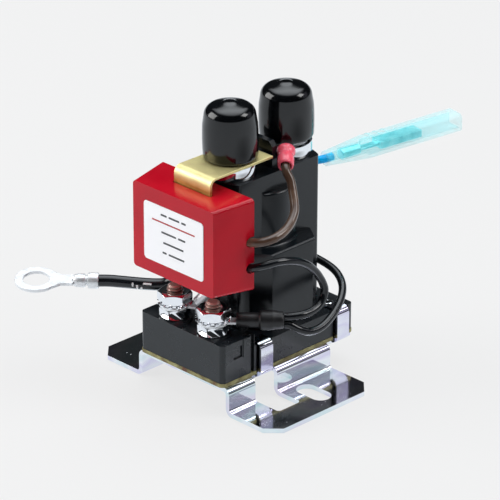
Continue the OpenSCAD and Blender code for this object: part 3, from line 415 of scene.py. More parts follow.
def combined(piece, tool, operation):
    """One solid from two, with the exact boolean modifier. The tool is used up."""
    boolean = piece.modifiers.new("Solid", "BOOLEAN")
    boolean.operation = operation
    boolean.solver = "EXACT"
    boolean.object = tool
    apply_modifiers(piece)
    bpy.data.objects.remove(tool)
    return piece


def refined(route):
    """A route with a point added between each two, on the smooth curve through them."""
    points = [Vector(p) for p in route]
    ends = [points[0] * 2 - points[1]] + points + [points[-1] * 2 - points[-2]]
    out = []
    for i in range(1, len(ends) - 2):
        out.append(ends[i])
        out.append((ends[i] + ends[i + 1]) * 0.5625 - (ends[i - 1] + ends[i + 2]) * 0.0625)
    return out + [ends[-2]]


def lead(name, route, diameter):
    """A lead as one smooth curve along its route, round and with closed ends."""
    clear_selection()
    bpy.ops.curve.primitive_bezier_curve_add()
    piece = bpy.context.object
    piece.name = name
    curve = piece.data
    curve.splines.clear()
    spline = curve.splines.new("BEZIER")
    points = refined(route)
    spline.bezier_points.add(len(points) - 1)
    for knot, point in zip(spline.bezier_points, points):
        knot.co = point * MM
        knot.handle_left_type = knot.handle_right_type = "AUTO"
    curve.dimensions = "3D"
    curve.resolution_u = 6
    curve.bevel_depth = diameter / 2 * MM
    curve.bevel_resolution = bpy.context.scene.relay_shapes.lead_sides
    curve.use_fill_caps = True
    return piece


def along(route):
    return sum((Vector(b) - Vector(a)).length for a, b in zip(route, route[1:])) * MM


# Building materials from nodes

def shader_tree(name):
    material = bpy.data.materials.new(name)
    material.use_nodes = True
    tree = material.node_tree
    return material, tree, tree.nodes["Principled BSDF"]


def pattern(tree, size, detail=3, stretch=(1, 1, 1), kind="Noise"):
    """A noise on the piece's own coordinates, whose features are about as large as size, in metres."""
    mapping = tree.nodes.new("ShaderNodeMapping")
    mapping.inputs["Scale"].default_value = [s / size for s in stretch]
    tree.links.new(tree.nodes.new("ShaderNodeTexCoord").outputs["Object"], mapping.inputs["Vector"])
    noise = tree.nodes.new("ShaderNodeTex" + kind)
    noise.inputs["Scale"].default_value = 1.0
    tree.links.new(mapping.outputs["Vector"], noise.inputs["Vector"])
    if kind == "Voronoi":
        return noise.outputs["Distance"]
    noise.inputs["Detail"].default_value = detail
    noise.inputs["Roughness"].default_value = 0.55
    return noise.outputs["Fac"]


def coordinate(tree, axis):
    """Place along one of the piece's own axes, in metres."""
    split = tree.nodes.new("ShaderNodeSeparateXYZ")
    tree.links.new(tree.nodes.new("ShaderNodeTexCoord").outputs["Object"], split.inputs["Vector"])
    return split.outputs[axis]


def ramp(tree, value, stops):
    """Colours by a value: stops are (position, colour)."""
    node = tree.nodes.new("ShaderNodeValToRGB")
    while len(node.color_ramp.elements) < len(stops):
        node.color_ramp.elements.new(0.5)
    for element, (position, colour) in zip(node.color_ramp.elements, stops):
        element.position = position
        element.color = (*colour, 1)
    tree.links.new(value, node.inputs["Fac"])
    return node.outputs["Color"]


def span(tree, value, low, high, start=0.3, end=0.7):
    """A value that goes from low to high as the given one goes from start to end."""
    node = tree.nodes.new("ShaderNodeMapRange")
    for socket, number in (("From Min", start), ("From Max", end), ("To Min", low), ("To Max", high)):
        node.inputs[socket].default_value = number
    tree.links.new(value, node.inputs["Value"])
    return node.outputs["Result"]


def relief(tree, shader, heights):
    """Bumps on the shader's normal: heights are (noise, depth in metres)."""
    normal = None
    for noise, depth in heights:
        bump = tree.nodes.new("ShaderNodeBump")
        bump.inputs["Strength"].default_value = 1.0
        bump.inputs["Distance"].default_value = depth
        tree.links.new(pattern(tree, *noise), bump.inputs["Height"])
        if normal is not None:
            tree.links.new(normal, bump.inputs["Normal"])
        normal = bump.outputs["Normal"]
    tree.links.new(normal, shader.inputs["Normal"])


def mixed(tree, share, first, second):
    """One colour socket between two, by a value from 0 to 1. Either may be a plain colour."""
    node = tree.nodes.new("ShaderNodeMix")
    node.data_type = "RGBA"
    tree.links.new(share, node.inputs[0])
    for socket, colour in ((node.inputs[6], first), (node.inputs[7], second)):
        if isinstance(colour, tuple):
            socket.default_value = (*colour, 1)
        else:
            tree.links.new(colour, socket)
    return node.outputs[2]


def greater(tree, first, second):
    """The larger of two values."""
    node = tree.nodes.new("ShaderNodeMath")
    node.operation = "MAXIMUM"
    tree.links.new(first, node.inputs[0])
    tree.links.new(second, node.inputs[1])
    return node.outputs[0]


def output(tree, share, first, second, end):
    """Two shaders, by a value from 0 to 1, on the tree's last node."""
    node = tree.nodes.new("ShaderNodeMixShader")
    tree.links.new(share, node.inputs["Fac"])
    tree.links.new(first, node.inputs[1])
    tree.links.new(second, node.inputs[2])
    tree.links.new(node.outputs["Shader"], tree.nodes[end].inputs["Surface"])


def shade(colour, factor):
    return tuple(min(1.0, c * factor) for c in colour)


def blend_to(colour, other, share):
    return tuple(a * (1 - share) + b * share for a, b in zip(colour, other))


def surface(name, noise, stops, rough_noise, rough, heights, **plain):
    """A material with colours along a noise, a roughness that varies, and a relief. A noise is (size, detail,
    stretch), and plain holds sockets that are the same all over, with _ for each space of their names."""
    material, tree, shader = shader_tree(name)
    tree.links.new(ramp(tree, pattern(tree, *noise), stops), shader.inputs["Base Color"])
    tree.links.new(span(tree, pattern(tree, *rough_noise), *rough), shader.inputs["Roughness"])
    for socket, value in plain.items():
        shader.inputs[socket.replace("_", " ")].default_value = value
    relief(tree, shader, heights)
    return material


def opened(material):
    """A material's tree, its shader and the socket that colours it."""
    tree = material.node_tree
    shader = tree.nodes["Principled BSDF"]
    return tree, shader, shader.inputs["Base Color"].links[0].from_socket


def moulded(name, colour, patch, grain, rough, depth=0.000006, specular=0.5):
    """Moulded plastic: slight shade changes, a fine grain and a few dull patches."""
    return surface(name, (patch, 4), [(0.3, shade(colour, 0.82)), (0.5, colour), (0.72, shade(colour, 1.25))],
                   (patch * 0.4, 5), rough, [((grain, 2), depth), ((patch * 0.5, 2), depth * 2)],
                   Specular_IOR_Level=specular)


def printed(name, colour, rough=(0.4, 0.5)):
    """A thin film of print."""
    return moulded(name, colour, 0.003, 0.0003, rough, 0.000001)


def glossy_vinyl(name, colour, rough, depth=0.000004, specular=0.5):
    """Smooth vinyl or wire insulation with faint dents."""
    return surface(name, (0.006, 3), [(0.3, shade(colour, 0.8)), (0.55, colour), (0.75, shade(colour, 1.3))],
                   (0.0015, 4), rough, [((0.003, 2), depth), ((0.0004, 2), depth * 0.3)],
                   Specular_IOR_Level=specular)


def plated(name, colours, patch, rough, depth=0.000004, stretch=(1, 1, 1), grain=0.0006):
    """Plated metal whose tint changes from patch to patch."""
    stops = [(0.30 + 0.42 * i / (len(colours) - 1), c) for i, c in enumerate(colours)]
    return surface(name, (patch, 3, stretch), stops, (grain, 4, stretch), rough,
                   [((grain, 3, stretch), depth), ((patch * 0.6, 2), depth * 3)], Metallic=1.0)


def zinc_plate(f):
    """Clear-passivated zinc: glossy, with lavender and aqua tints, faint waves and small dull specks."""
    lavender = blend_to(f.zinc, (0.66, 0.58, 0.88), 0.5)
    aqua = blend_to(f.zinc, (0.60, 0.86, 0.86), 0.4)
    mauve = blend_to(f.zinc, (0.76, 0.62, 0.84), 0.4)
    pale = shade(f.zinc, 1.08)
    material = surface("Zinc plate", (0.014, 2, (1.0, 0.5, 1.6)),
                       [(0.28, f.zinc), (0.38, lavender), (0.48, pale), (0.58, aqua), (0.72, mauve)],
                       (0.0010, 4), (0.05, 0.12), [((0.0007, 3), 0.0000008), ((0.010, 1), 0.000010)],
                       Metallic=1.0)
    tree, shader, tints = opened(material)
    specks = span(tree, pattern(tree, 0.0038, kind="Voronoi"), 1.0, 0.0, 0.03, 0.06)
    tree.links.new(mixed(tree, specks, tints, (0.86, 0.87, 0.90)), shader.inputs["Base Color"])
    gloss = shader.inputs["Roughness"].links[0].from_socket
    tree.links.new(greater(tree, gloss, span(tree, specks, 0.0, 0.55, 0.0, 1.0)), shader.inputs["Roughness"])
    return material


def brass_strip(f):
    """Satin brass with fine brushing along the strip, a faint warm tarnish, and painted shade low on its leg.
    """
    tarnished = blend_to(f.brass, (0.66, 0.44, 0.20), 0.4)
    material = surface("Brass strip", (0.006, 4),
                       [(0.28, tarnished), (0.5, f.brass), (0.75, shade(f.brass, 1.1))],
                       (0.0012, 4, (0.25, 2, 2)), (0.38, 0.52),
                       [((0.0010, 3, (3, 0.12, 3)), 0.000003), ((0.004, 2), 0.000008)], Metallic=0.72)
    tree, shader, brass_above_leg_shade = opened(material)
    # painted shade: below about 70 mm the leg is coloured a darker brown
    painted_leg_shade = ramp(tree, pattern(tree, 0.003, 4, (0.6, 1, 2)),
                   [(0.3, (0.32, 0.15, 0.03)), (0.5, (0.48, 0.26, 0.06)), (0.7, (0.62, 0.38, 0.10))])
    leg_shade_mask = span(tree, coordinate(tree, "Z"), 1.0, 0.0, 0.0695, 0.0717)
    tree.links.new(mixed(tree, leg_shade_mask, brass_above_leg_shade, painted_leg_shade), shader.inputs["Base Color"])
    return material


def copper_flash(f):
    """Dull copper flash, with painted shade that darkens the thread's roots so that its crests stand out
    bright.
    """
    pale = blend_to(f.thread, (0.78, 0.66, 0.60), 0.5)
    material = surface("Copper flash", (0.0022, 3),
                       [(0.3, shade(f.thread, 0.8)), (0.5, f.thread), (0.72, pale)],
                       (0.0004, 4), (0.26, 0.40), [((0.0004, 3), 0.000006)], Metallic=0.5)
    tree, shader, colours = opened(material)
    # painted shade: the thread's roots, found by pointiness, get a near-black colour
    crest_vs_root_shade = span(tree, tree.nodes.new("ShaderNodeNewGeometry").outputs["Pointiness"], 0.0, 1.0, 0.44, 0.56)
    tree.links.new(mixed(tree, crest_vs_root_shade, (0.030, 0.014, 0.010), colours), shader.inputs["Base Color"])
    return material


def clear_boot(f):
    """Thin clear blue vinyl, cloudier in places and paler towards its far end."""
    pale = (0.85, 0.98, 1.0)
    material = surface("Clear blue vinyl", (0.009, 3),
                       [(0.3, shade(f.boot, 0.8)), (0.5, f.boot), (0.75, blend_to(f.boot, pale, 0.3))],
                       (0.004, 3), (0.22, 0.34), [((0.004, 1), 0.000003)], Specular_IOR_Level=0.3, Alpha=0.20)
    tree, shader, clouds = opened(material)
    fading = span(tree, coordinate(tree, "Y"), 0.0, 1.0, 0.040, 0.080)
    tree.links.new(mixed(tree, fading, clouds, blend_to(f.boot, pale, 0.4)), shader.inputs["Base Color"])
    return material


# One entry per finish, each made from the colours that the user may change
FINISHES = {
    "zinc_plate": zinc_plate,
    "brass_strip": brass_strip,
    "copper_flash": copper_flash,
    "clear_boot": clear_boot,
    "bright_zinc": lambda f: plated(
        "Bright zinc", [(0.80, 0.82, 0.86), (0.90, 0.91, 0.93), (0.86, 0.86, 0.90)], 0.004, (0.05, 0.13),
        0.000003, grain=0.0005),
    # dull and almost white, with faint drag lines
    "tin_plate": lambda f: surface(
        "Tin plate", (0.003, 3), [(0.3, shade(f.tin, 0.9)), (0.5, f.tin), (0.75, shade(f.tin, 1.05))],
        (0.0007, 4), (0.34, 0.5), [((0.0007, 3), 0.000004), ((0.003, 2), 0.00001)], Metallic=0.7),
    # painted shade: tin plate coloured cyan and darker, as it looks through the blue boot
    "shaded_tin": lambda f: plated(
        "Shaded tin", [(0.18, 0.62, 0.68), (0.34, 0.84, 0.88), (0.58, 0.96, 0.98)], 0.004, (0.35, 0.5)),
    # semi-gloss, with a faint cloudiness
    "red_case": lambda f: surface(
        "Red case", (0.018, 2), [(0.3, shade(f.case, 0.9)), (0.5, f.case), (0.72, shade(f.case, 1.1))],
        (0.006, 4), (0.17, 0.24), [((0.0005, 2), 0.000002), ((0.012, 2), 0.000006)], Specular_IOR_Level=0.31),
    # olive fibre card with brown bits
    "gasket_card": lambda f: surface(
        "Gasket card", (0.0035, 5),
        [(0.30, (0.14, 0.055, 0.025)), (0.42, (0.20, 0.17, 0.07)), (0.58, (0.33, 0.30, 0.13)),
         (0.75, (0.44, 0.41, 0.22))],
        (0.0006, 3), (0.55, 0.8), [((0.0004, 3, (1, 1, 0.3)), 0.00003)]),
    # satin white film with a faint orange-peel surface
    "label_film": lambda f: surface(
        "Label film", (0.02, 2), [(0.3, (0.915, 0.910, 0.925)), (0.7, (0.945, 0.940, 0.955))],
        (0.003, 3), (0.34, 0.46), [((0.0012, 2), 0.000003)], Specular_IOR_Level=0.3),
    # clear red vinyl over a bright barrel
    "clear_red": lambda f: surface(
        "Clear red vinyl", (0.003, 3),
        [(0.3, shade(f.insulator, 0.85)), (0.55, f.insulator),
         (0.75, blend_to(f.insulator, (1.0, 0.40, 0.45), 0.35))],
        (0.0015, 3), (0.14, 0.26), [((0.002, 2), 0.000012)], Subsurface_Weight=0.35,
        Subsurface_Radius=(1.0, 0.25, 0.25), Subsurface_Scale=0.0012),
    # slightly clear, with paler strands showing through
    "brown_jacket": lambda f: surface(
        "Brown jacket", (0.007, 2),
        [(0.30, shade(f.brown, 0.8)), (0.5, f.brown), (0.72, blend_to(f.brown, (0.36, 0.22, 0.14), 0.3))],
        (0.0015, 3), (0.16, 0.24), [((0.003, 2), 0.000008)], Sheen_Weight=0.15, Sheen_Roughness=0.4),
    "cover_moulding": lambda f: moulded(
        "Cover moulding", f.cover, 0.02, 0.0004, (0.18, 0.27), 0.0000008, 0.45),
    "base_moulding": lambda f: moulded(
        "Base moulding", shade(f.cover, 1.3), 0.015, 0.00045, (0.24, 0.34), 0.0000007),
    "cap_vinyl": lambda f: glossy_vinyl("Cap vinyl", (0.0018, 0.0022, 0.0030), (0.11, 0.15), 0.000002, 0.52),
    "black_jacket": lambda f: glossy_vinyl("Black jacket", (0.007, 0.008, 0.010), (0.12, 0.20)),
    "blue_jacket": lambda f: glossy_vinyl("Blue jacket", f.blue, (0.18, 0.28), specular=0.2),
    "label_ink": lambda f: printed("Label ink", (0.045, 0.045, 0.05)),
    "label_rule": lambda f: printed("Label rule", (0.45, 0.010, 0.02), (0.35, 0.45)),
    "mark_white": lambda f: printed("White print", (0.82, 0.82, 0.82)),
    "sleeve_rubber": lambda f: moulded("Sleeve rubber", (0.010, 0.009, 0.010), 0.004, 0.0006, (0.34, 0.48)),
    "cast_resin": lambda f: moulded("Cast resin", (0.018, 0.018, 0.02), 0.01, 0.002, (0.12, 0.3), 0.00005),
    "laminate": lambda f: moulded("Laminate", (0.02, 0.16, 0.07), 0.01, 0.0004, (0.35, 0.5)),
    "natural_nylon": lambda f: moulded("Natural nylon", (0.70, 0.66, 0.54), 0.01, 0.0005, (0.4, 0.55)),
    "bush": lambda f: moulded("Bush phenolic", (0.30, 0.05, 0.03), 0.004, 0.0004, (0.4, 0.55)),
    "magnet_iron": lambda f: plated(
        "Magnet iron", [(0.30, 0.30, 0.31), (0.42, 0.42, 0.43)], 0.006, (0.35, 0.5)),
    "winding": lambda f: plated(
        "Enamelled winding", [(0.40, 0.14, 0.05), (0.60, 0.26, 0.10)], 0.002, (0.25, 0.4), 0.00002,
        (0.3, 0.3, 3.5), 0.0004),
    "rod_steel": lambda f: plated("Rod steel", [(0.55, 0.56, 0.58), (0.68, 0.69, 0.71)], 0.004, (0.2, 0.32)),
    "contact_copper": lambda f: plated(
        "Contact copper", [(0.62, 0.30, 0.18), (0.76, 0.42, 0.28)], 0.004, (0.2, 0.35)),
}
materials = {}


def finish_of(name):
    """The material of a finish, made on its first use."""
    if name not in materials:
        materials[name] = FINISHES[name](bpy.context.scene.relay_finishes)
    return materials[name]


class RELAY_OT_camera(bpy.types.Operator):
    """Sets the camera at the photograph's viewing angle"""

    bl_idname = "relay.camera"
    bl_label = "Camera"

    def execute(self, context):
        stage = context.scene.relay_stage
        clear_selection()
        bpy.ops.object.camera_add(location=stage.camera_place)
        camera = context.object
        camera.name = "Camera"
        look = Vector(stage.camera_target) - Vector(stage.camera_place)
        camera.rotation_euler = (look.to_track_quat("-Z", "Y").to_matrix()
                                 @ Matrix.Rotation(stage.camera_roll, 3, "Z")).to_euler()
        camera.data.sensor_width = 36
        camera.data.lens = stage.lens
        camera.data.clip_start = 0.05
        camera.data.clip_end = 20
        context.scene.camera = camera
        return {"FINISHED"}


class RELAY_OT_ground_lead(bpy.types.Operator):
    """Ground lead with its open ring terminal"""

    bl_idname = "relay.ground_lead"
    bl_label = "Ground lead"

    def mark(self, at, width, turn):
        """One bar of the printed earth sign: a thin arc on the lead's side that faces the camera."""
        clear_selection()
        bpy.ops.mesh.primitive_plane_add(size=1, location=(EARTH_RADIUS * MM, 0, 0),
                                         rotation=(math.radians(90), 0, 0))
        bar = bpy.context.object
        edit(bar)
        bpy.ops.transform.resize(value=(EARTH_THICK * MM, 1, width * MM))
        done()
        bpy.ops.object.transform_apply(location=True, rotation=True, scale=True)
        edit(bar)
        bpy.ops.mesh.spin(steps=10, angle=math.radians(turn), center=(0, 0, 0), axis=(0, 0, 1))
        bpy.ops.mesh.select_all(action="SELECT")
        bpy.ops.mesh.normals_make_consistent(inside=False)
        done()
        smooth(bar, 50)
        start, end = Vector(GROUND_ROUTE[6]), Vector(GROUND_ROUTE[7])
        along_lead = (end - start).normalized()
        facing = EARTH_FACING - along_lead * along_lead.dot(EARTH_FACING)
        facing.normalize()
        aim = Matrix((facing, along_lead.cross(facing), along_lead)).transposed().to_4x4()
        half = Matrix.Rotation(math.radians(-turn / 2), 4, "Z")
        return place(bar, start + along_lead * at, aim @ half)

    def execute(self, context):
        ring = copy_of("ground_ring_terminal", "ground_ring")
        # the node's plain barrel makes room for a rolled crimp over the strands, with a seam along its top
        ahead = GROUND_TURN.to_3x3() @ Vector((1, 0, 0))
        cut = Vector(GROUND_ROUTE[-1]) + ahead * GROUND_BARREL
        edit(ring)
        bpy.ops.mesh.bisect(plane_co=cut * MM, plane_no=ahead, use_fill=True, clear_inner=True)
        done()
        round_edges(ring, 0.2 * MM)
        crimp = turned("ground_crimp", [
            (0, 0), (2.2, 0), (2.42, 0.1), (2.5, 0.35), (2.5, 2.9), (2.42, 3.2), (2.1, 3.4), (1.62, 3.5),
            (1.5, 3.7), (1.55, 3.95), (2.0, 4.15), (2.15, 4.5), (2.14, 6.2), (2.02, 7.0), (1.74, 7.7),
            (1.25, 8.1), (0, 8.2)], 48)
        seam = box("seam", (6.4, 0.22, 1.0), (5.7, 0, 2.4))
        place(crimp, turn=LYING)
        combined(crimp, seam, "DIFFERENCE")
        smooth(crimp, 40)
        place(crimp, GROUND_ROUTE[-1], GROUND_TURN)
        joined(ring, crimp)
        hand_in(ring, "tin_plate", "terminal_tin", "ground_ring_terminal")
        marks = [self.mark(at, width, turn) for at, width, turn in EARTH_BARS]
        marks[0].name = "ground_marks"
        joined(*marks)
        hand_in(marks[0], "mark_white", "label_white")
        wire = lead("ground_wire", GROUND_ROUTE, GROUND_DIAMETER)
        hand_in(wire, "black_jacket", "lead_black", "ground_lead")
        along(refined(GROUND_ROUTE))
        return {"FINISHED"}


class RELAY_OT_override_lead(bpy.types.Operator):
    """Override lead with its blade terminal in a clear boot"""

    bl_idname = "relay.override_lead"
    bl_label = "Override lead"

    def execute(self, context):
        blade = dress("blade_terminal", "blade", 0.15 * MM, "shaded_tin", "terminal_tin", 2)
        boot = dress("connector_boot", "boot", 0.25 * MM, "clear_boot", "boot_clear_blue", 2, 40)
        wire = lead("override_wire", OVERRIDE_ROUTE, OVERRIDE_DIAMETER)
        hand_in(wire, "blue_jacket", "lead_blue", "override_lead")
        along(refined(OVERRIDE_ROUTE))
        return {"FINISHED"}


class RELAY_OT_bracket(bpy.types.Operator):
    """Plated bracket, gasket and eyelets"""

    bl_idname = "relay.bracket"
    bl_label = "Bracket"

    def execute(self, context):
        shapes = context.scene.relay_shapes
        dress("mounting_bracket", "bracket", shapes.sheet_edge, "zinc_plate", "zinc_plate")
        dress("base_gasket", "gasket", 0.1 * MM, "gasket_card", "gasket_card", 2)
        dress("base_eyelets", "eyelets", 0.12 * MM, "bright_zinc", "bright_zinc")
        return {"FINISHED"}


class RELAY_OT_mouldings(bpy.types.Operator):
    """Black base and body cover"""

    bl_idname = "relay.mouldings"
    bl_label = "Base and cover"

    def on_contact_chamber(self, point):
        return abs(point.z - CONTACT_TOP) < 0.05 and (point - COIL_AXIS).xy.length > CONTACT_SIDE

    def on_coil_chamber(self, point):
        return abs(point.z - CHAMBER_TOP) < 0.05 and abs(point.x) > CHAMBER_SIDE

    def execute(self, context):
        shapes = context.scene.relay_shapes
        dress("terminal_base", "base", shapes.mould_edge, "base_moulding", "base_plastic")
        cover = copy_of("body_cover", "cover")
        for width, test in ((0.7, self.on_contact_chamber), (0.75, self.on_coil_chamber)):
            round_places(cover, width * MM, 4, lambda a, b: test(a) and test(b))
        round_edges(cover, shapes.mould_edge)
        hand_in(cover, "cover_moulding", "cover_plastic", "body_cover")
        return {"FINISHED"}


class RELAY_OT_collars(bpy.types.Operator):
    """Bright collars under the link and the main terminal"""

    bl_idname = "relay.collars"
    bl_label = "Collars"

    def execute(self, context):
        for node in ("stud_collar_front", "stud_collar_rear"):
            r, foot = radius_and_foot(node)
            h = height_of(node)
            collar = turned(node.replace("stud_", ""), [
                (3.97, 0), (r - 0.4, 0), (r - 0.12, 0.12), (r, 0.4), (r, h - 0.4), (r - 0.12, h - 0.12),
                (r - 0.4, h), (3.97, h), (3.97, 0)], 96)
            smooth(collar, 40)
            place(collar, foot)
            hand_in(collar, "bright_zinc", "bright_zinc", node)
        return {"FINISHED"}


class RELAY_OT_caps(bpy.types.Operator):
    """Glossy caps over the main studs"""

    bl_idname = "relay.caps"
    bl_label = "Caps"

    def execute(self, context):
        leaning = Matrix.Rotation(math.radians(0.9), 4, TO_CAMERA)
        for node in ("terminal_cap_front", "terminal_cap_rear"):
            r, foot = radius_and_foot(node)
            h = height_of(node)
            outside = [(r - 1.0, 0.15), (r - 0.85, 0), (r - 0.55, 0.03), (r - 0.32, 0.3), (r - 0.14, 1.0),
                       (r - 0.03, h * 0.2), (r, h * 0.35), (r - 0.05, h * 0.48), (r - 0.15, h * 0.6)]
            shoulder = arc(r - 0.6 - CAP_SHOULDER, h - 0.98 - CAP_SHOULDER, CAP_SHOULDER, 4, 74, 16)
            crown = [(r - 4.3, h - 0.86), (3.4, h - 0.66), (2.7, h - 0.52), (2.3, h - 0.4), (1.95, h - 0.24),
                     (1.6, h - 0.11), (1.1, h - 0.03), (0.5, h), (0, h)]
            inside = [(0, h - 1.9), (r - 4.4, h - 2.2), (r - 2.2, h - 4.6), (r - 1.25, h * 0.5),
                      (r - 1.1, 0.6), (r - 1.0, 0.15)]
            cap = turned(node.replace("terminal_", ""), outside + shoulder + crown + inside, 96)
            smooth(cap, 60)
            place(cap, foot, leaning)
            hand_in(cap, "cap_vinyl", "cap_vinyl", node)
        return {"FINISHED"}


class RELAY_OT_link(bpy.types.Operator):
    """Brass link from the front main stud into the module"""

    bl_idname = "relay.link"
    bl_label = "Brass link"

    def execute(self, context):
        dress("brass_link", "link", 0.14 * MM, "brass_strip", "link_brass")
        return {"FINISHED"}


class RELAY_OT_module(bpy.types.Operator):
    """Red case with its resin, board and white label"""

    bl_idname = "relay.module"
    bl_label = "Control module"

    def mark(self, name, x, front, z, width, height):
        """A plain printed bar with round ends, a hair thick."""
        bar = box(name, (width, 0.02, height), (x, front, z))
        return round_places(bar, height * 0.3 * MM, 3, lambda a, b: abs(a.x - b.x) + abs(a.z - b.z) < 0.001)

    def spread(self, words):
        """The middle and the width of each bar of a centred row."""
        gap = 0.9
        x = -(sum(words) + gap * (len(words) - 1)) / 2
        for width in words:
            yield x + width / 2, width
            x += width + gap

    def execute(self, context):
        shapes = context.scene.relay_shapes
        dress("module_case", "case", shapes.case_edge, "red_case", "case_red", 4, 35)
        dress("module_label", "label", 0.06 * MM, "label_film", "label_white", 2)
        middle = middle_of("module_label")
        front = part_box("module_label")[0].y / MM - 0.01
        marks = [self.mark("mark", middle.x + x, front, middle.z + z, width, 0.62)
                 for z, words in LABEL_ROWS for x, width in self.spread(words)]
        marks[0].name = "label_marks"
        joined(*marks)
        hand_in(marks[0], "label_ink", "label_white")
        rule = self.mark("label_line", middle.x, front, middle.z + 4.4, 18.6, 0.5)
        hand_in(rule, "label_rule", "label_white")
        finish_node("module_potting", "cast_resin")
        finish_node("circuit_board", "laminate")
        return {"FINISHED"}


class RELAY_OT_coil_studs(bpy.types.Operator):
    """Small threaded studs with their nuts and star washers"""

    bl_idname = "relay.coil_studs"
    bl_label = "Coil studs"

    def thread(self, name, radius, pitch, low, high):
        """A threaded rod with a chamfered tip, its ridges as close rings."""
        root = radius - pitch * 0.55
        tip = 0.75
        outline = [(0, low), (root, low)]
        for k in range(int((high - low - tip) / pitch)):
            z = low + k * pitch
            outline += [(root, z + 0.12 * pitch), (radius, z + 0.46 * pitch), (radius, z + 0.58 * pitch),
                        (root, z + 0.92 * pitch)]
        outline += [(radius - 0.25, high - 0.5), (radius - tip, high), (0, high)]
        piece = turned(name, outline, 40)
        smooth(piece, 30)
        return piece

    def nut(self, flats, height):
        """A hexagon trimmed by a double cone, with a countersunk bore."""
        clear_selection()
        corner = flats / 2 / math.cos(math.radians(30))
        bpy.ops.mesh.primitive_cylinder_add(vertices=6, radius=corner * MM, depth=height * MM,
                                            location=(0, 0, height / 2 * MM))
        piece = bpy.context.object
        bpy.ops.object.transform_apply(location=True, rotation=True, scale=True)
        face = flats / 2 - 0.25
        waist = face + height / 2 / math.tan(math.radians(30))
        cone = turned("cone", [(0, 0), (face, 0), (waist, height / 2), (face, height), (0, height)], 72)
        combined(piece, cone, "INTERSECT")
        bore = STUD_BORE / 2
        hole = turned("hole", [(0, -1), (bore + 1.5, -1), (bore, 0.5), (bore, height - 0.5),
                      (bore + 1.5, height + 1), (0, height + 1)], 72)
        combined(piece, hole, "DIFFERENCE")
        return round_edges(piece, 0.09 * MM, 2, 25)

    def star(self, thick, twist):
        """A ring with twisted teeth, every third one less."""
        bore = STUD_BORE / 2
        rim = WASHER_OUTER / 2 - 1.1
        ring = turned("washer", [
            (bore, 0.1), (bore + 0.1, 0), (rim - 0.2, 0), (rim, 0.15), (rim, thick - 0.15),
            (rim - 0.2, thick), (bore + 0.1, thick), (bore, thick - 0.1), (bore, 0.1)], 72)
        smooth(ring, 35)
        tooth = round_edges(box("tooth", (1.7, 1.35, 0.62), (0, 0, 0)), 0.1 * MM, 2, 30)
        outward = Matrix.Translation(((WASHER_OUTER / 2 - 0.87) * MM, 0, 0))
        teeth = repeated(tooth, WASHER_TEETH)
        for k, tooth in enumerate(teeth):
            own_twist = Matrix.Rotation(twist * (1.0 if k % 3 else 0.7), 4, "X")
            turn = Matrix.Rotation(math.tau * k / WASHER_TEETH, 4, "Z") @ outward @ own_twist
            place(tooth, (0, 0, thick / 2), turn)
        return joined(ring, *teeth)

    def pair(self, piece, name, node, turn=0):
        """Sets a fastener and its copy on the two studs, as one piece."""
        both = repeated(piece, 2)
        own_turn = Matrix.Rotation(math.radians(turn), 4, "Z")
        for side, fastener in zip(("left", "right"), both):
            stud = middle_of("coil_stud_" + side)
            place(fastener, (stud.x, stud.y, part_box(node)[0].z / MM), own_turn)
        joined(*both)
        piece.name = name
        hand_in(piece, "bright_zinc", "bright_zinc", node)

    def execute(self, context):
        shapes = context.scene.relay_shapes
        for side in ("left", "right"):
            low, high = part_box("coil_stud_" + side)
            radius = (high.x - low.x) / 2 / MM
            stud = self.thread("stud_" + side, radius, shapes.thread_pitch / MM, low.z / MM, high.z / MM)
            place(stud, ((low.x + high.x) / 2 / MM, (low.y + high.y) / 2 / MM, 0))
            hand_in(stud, "copper_flash", "stud_copper", "coil_stud_" + side)
        for node, turn, flats in (("lower_coil_nuts", 22.5, 8.4), ("upper_coil_nuts", 11.25, 9.5)):
            self.pair(self.nut(flats, height_of(node)), node.replace("coil_", ""), node, turn)
        washer = self.star(height_of("star_washers"), shapes.tooth_twist)
        self.pair(washer, "star_washer_pair", "star_washers")
        return {"FINISHED"}


class RELAY_OT_coil_terminals(bpy.types.Operator):
    """Terminals on the small studs and the black sleeve"""

    bl_idname = "relay.coil_terminals"
    bl_label = "Coil terminals"

    def execute(self, context):
        for side in ("left", "right"):
            dress("coil_ring_" + side, "terminal_" + side, 0.1 * MM, "tin_plate", "terminal_tin", 2)
        sleeve = turned("sleeve", [
            (0, 0.5), (1.55, 0.5), (1.7, 0.12), (1.95, 0), (2.2, 0.1), (2.35, 0.4), (2.3, 1.6), (2.36, 3.2),
            (2.3, 5.2), (2.36, 6.7), (2.5, 7.1), (2.9, 7.3), (3.06, 7.5), (3.1, 7.8), (3.1, 11.0),
            (3.06, 11.35), (2.94, 11.6), (2.84, 12.4), (2.74, 13.4), (2.62, 14.2), (2.45, 14.45),
            (2.1, 14.5), (1.4, 14.35), (0, 14.3)], 64)
        smooth(sleeve, 50)
        angle = 45
        end = middle_of("coil_stud_right") + heading(angle) * 7
        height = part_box("coil_ring_right")[1].z / MM
        place(sleeve, (end.x, end.y, height), Matrix.Rotation(math.radians(angle), 4, "Z") @ LYING)
        hand_in(sleeve, "sleeve_rubber", "sleeve_black", "crimp_sleeve")
        return {"FINISHED"}


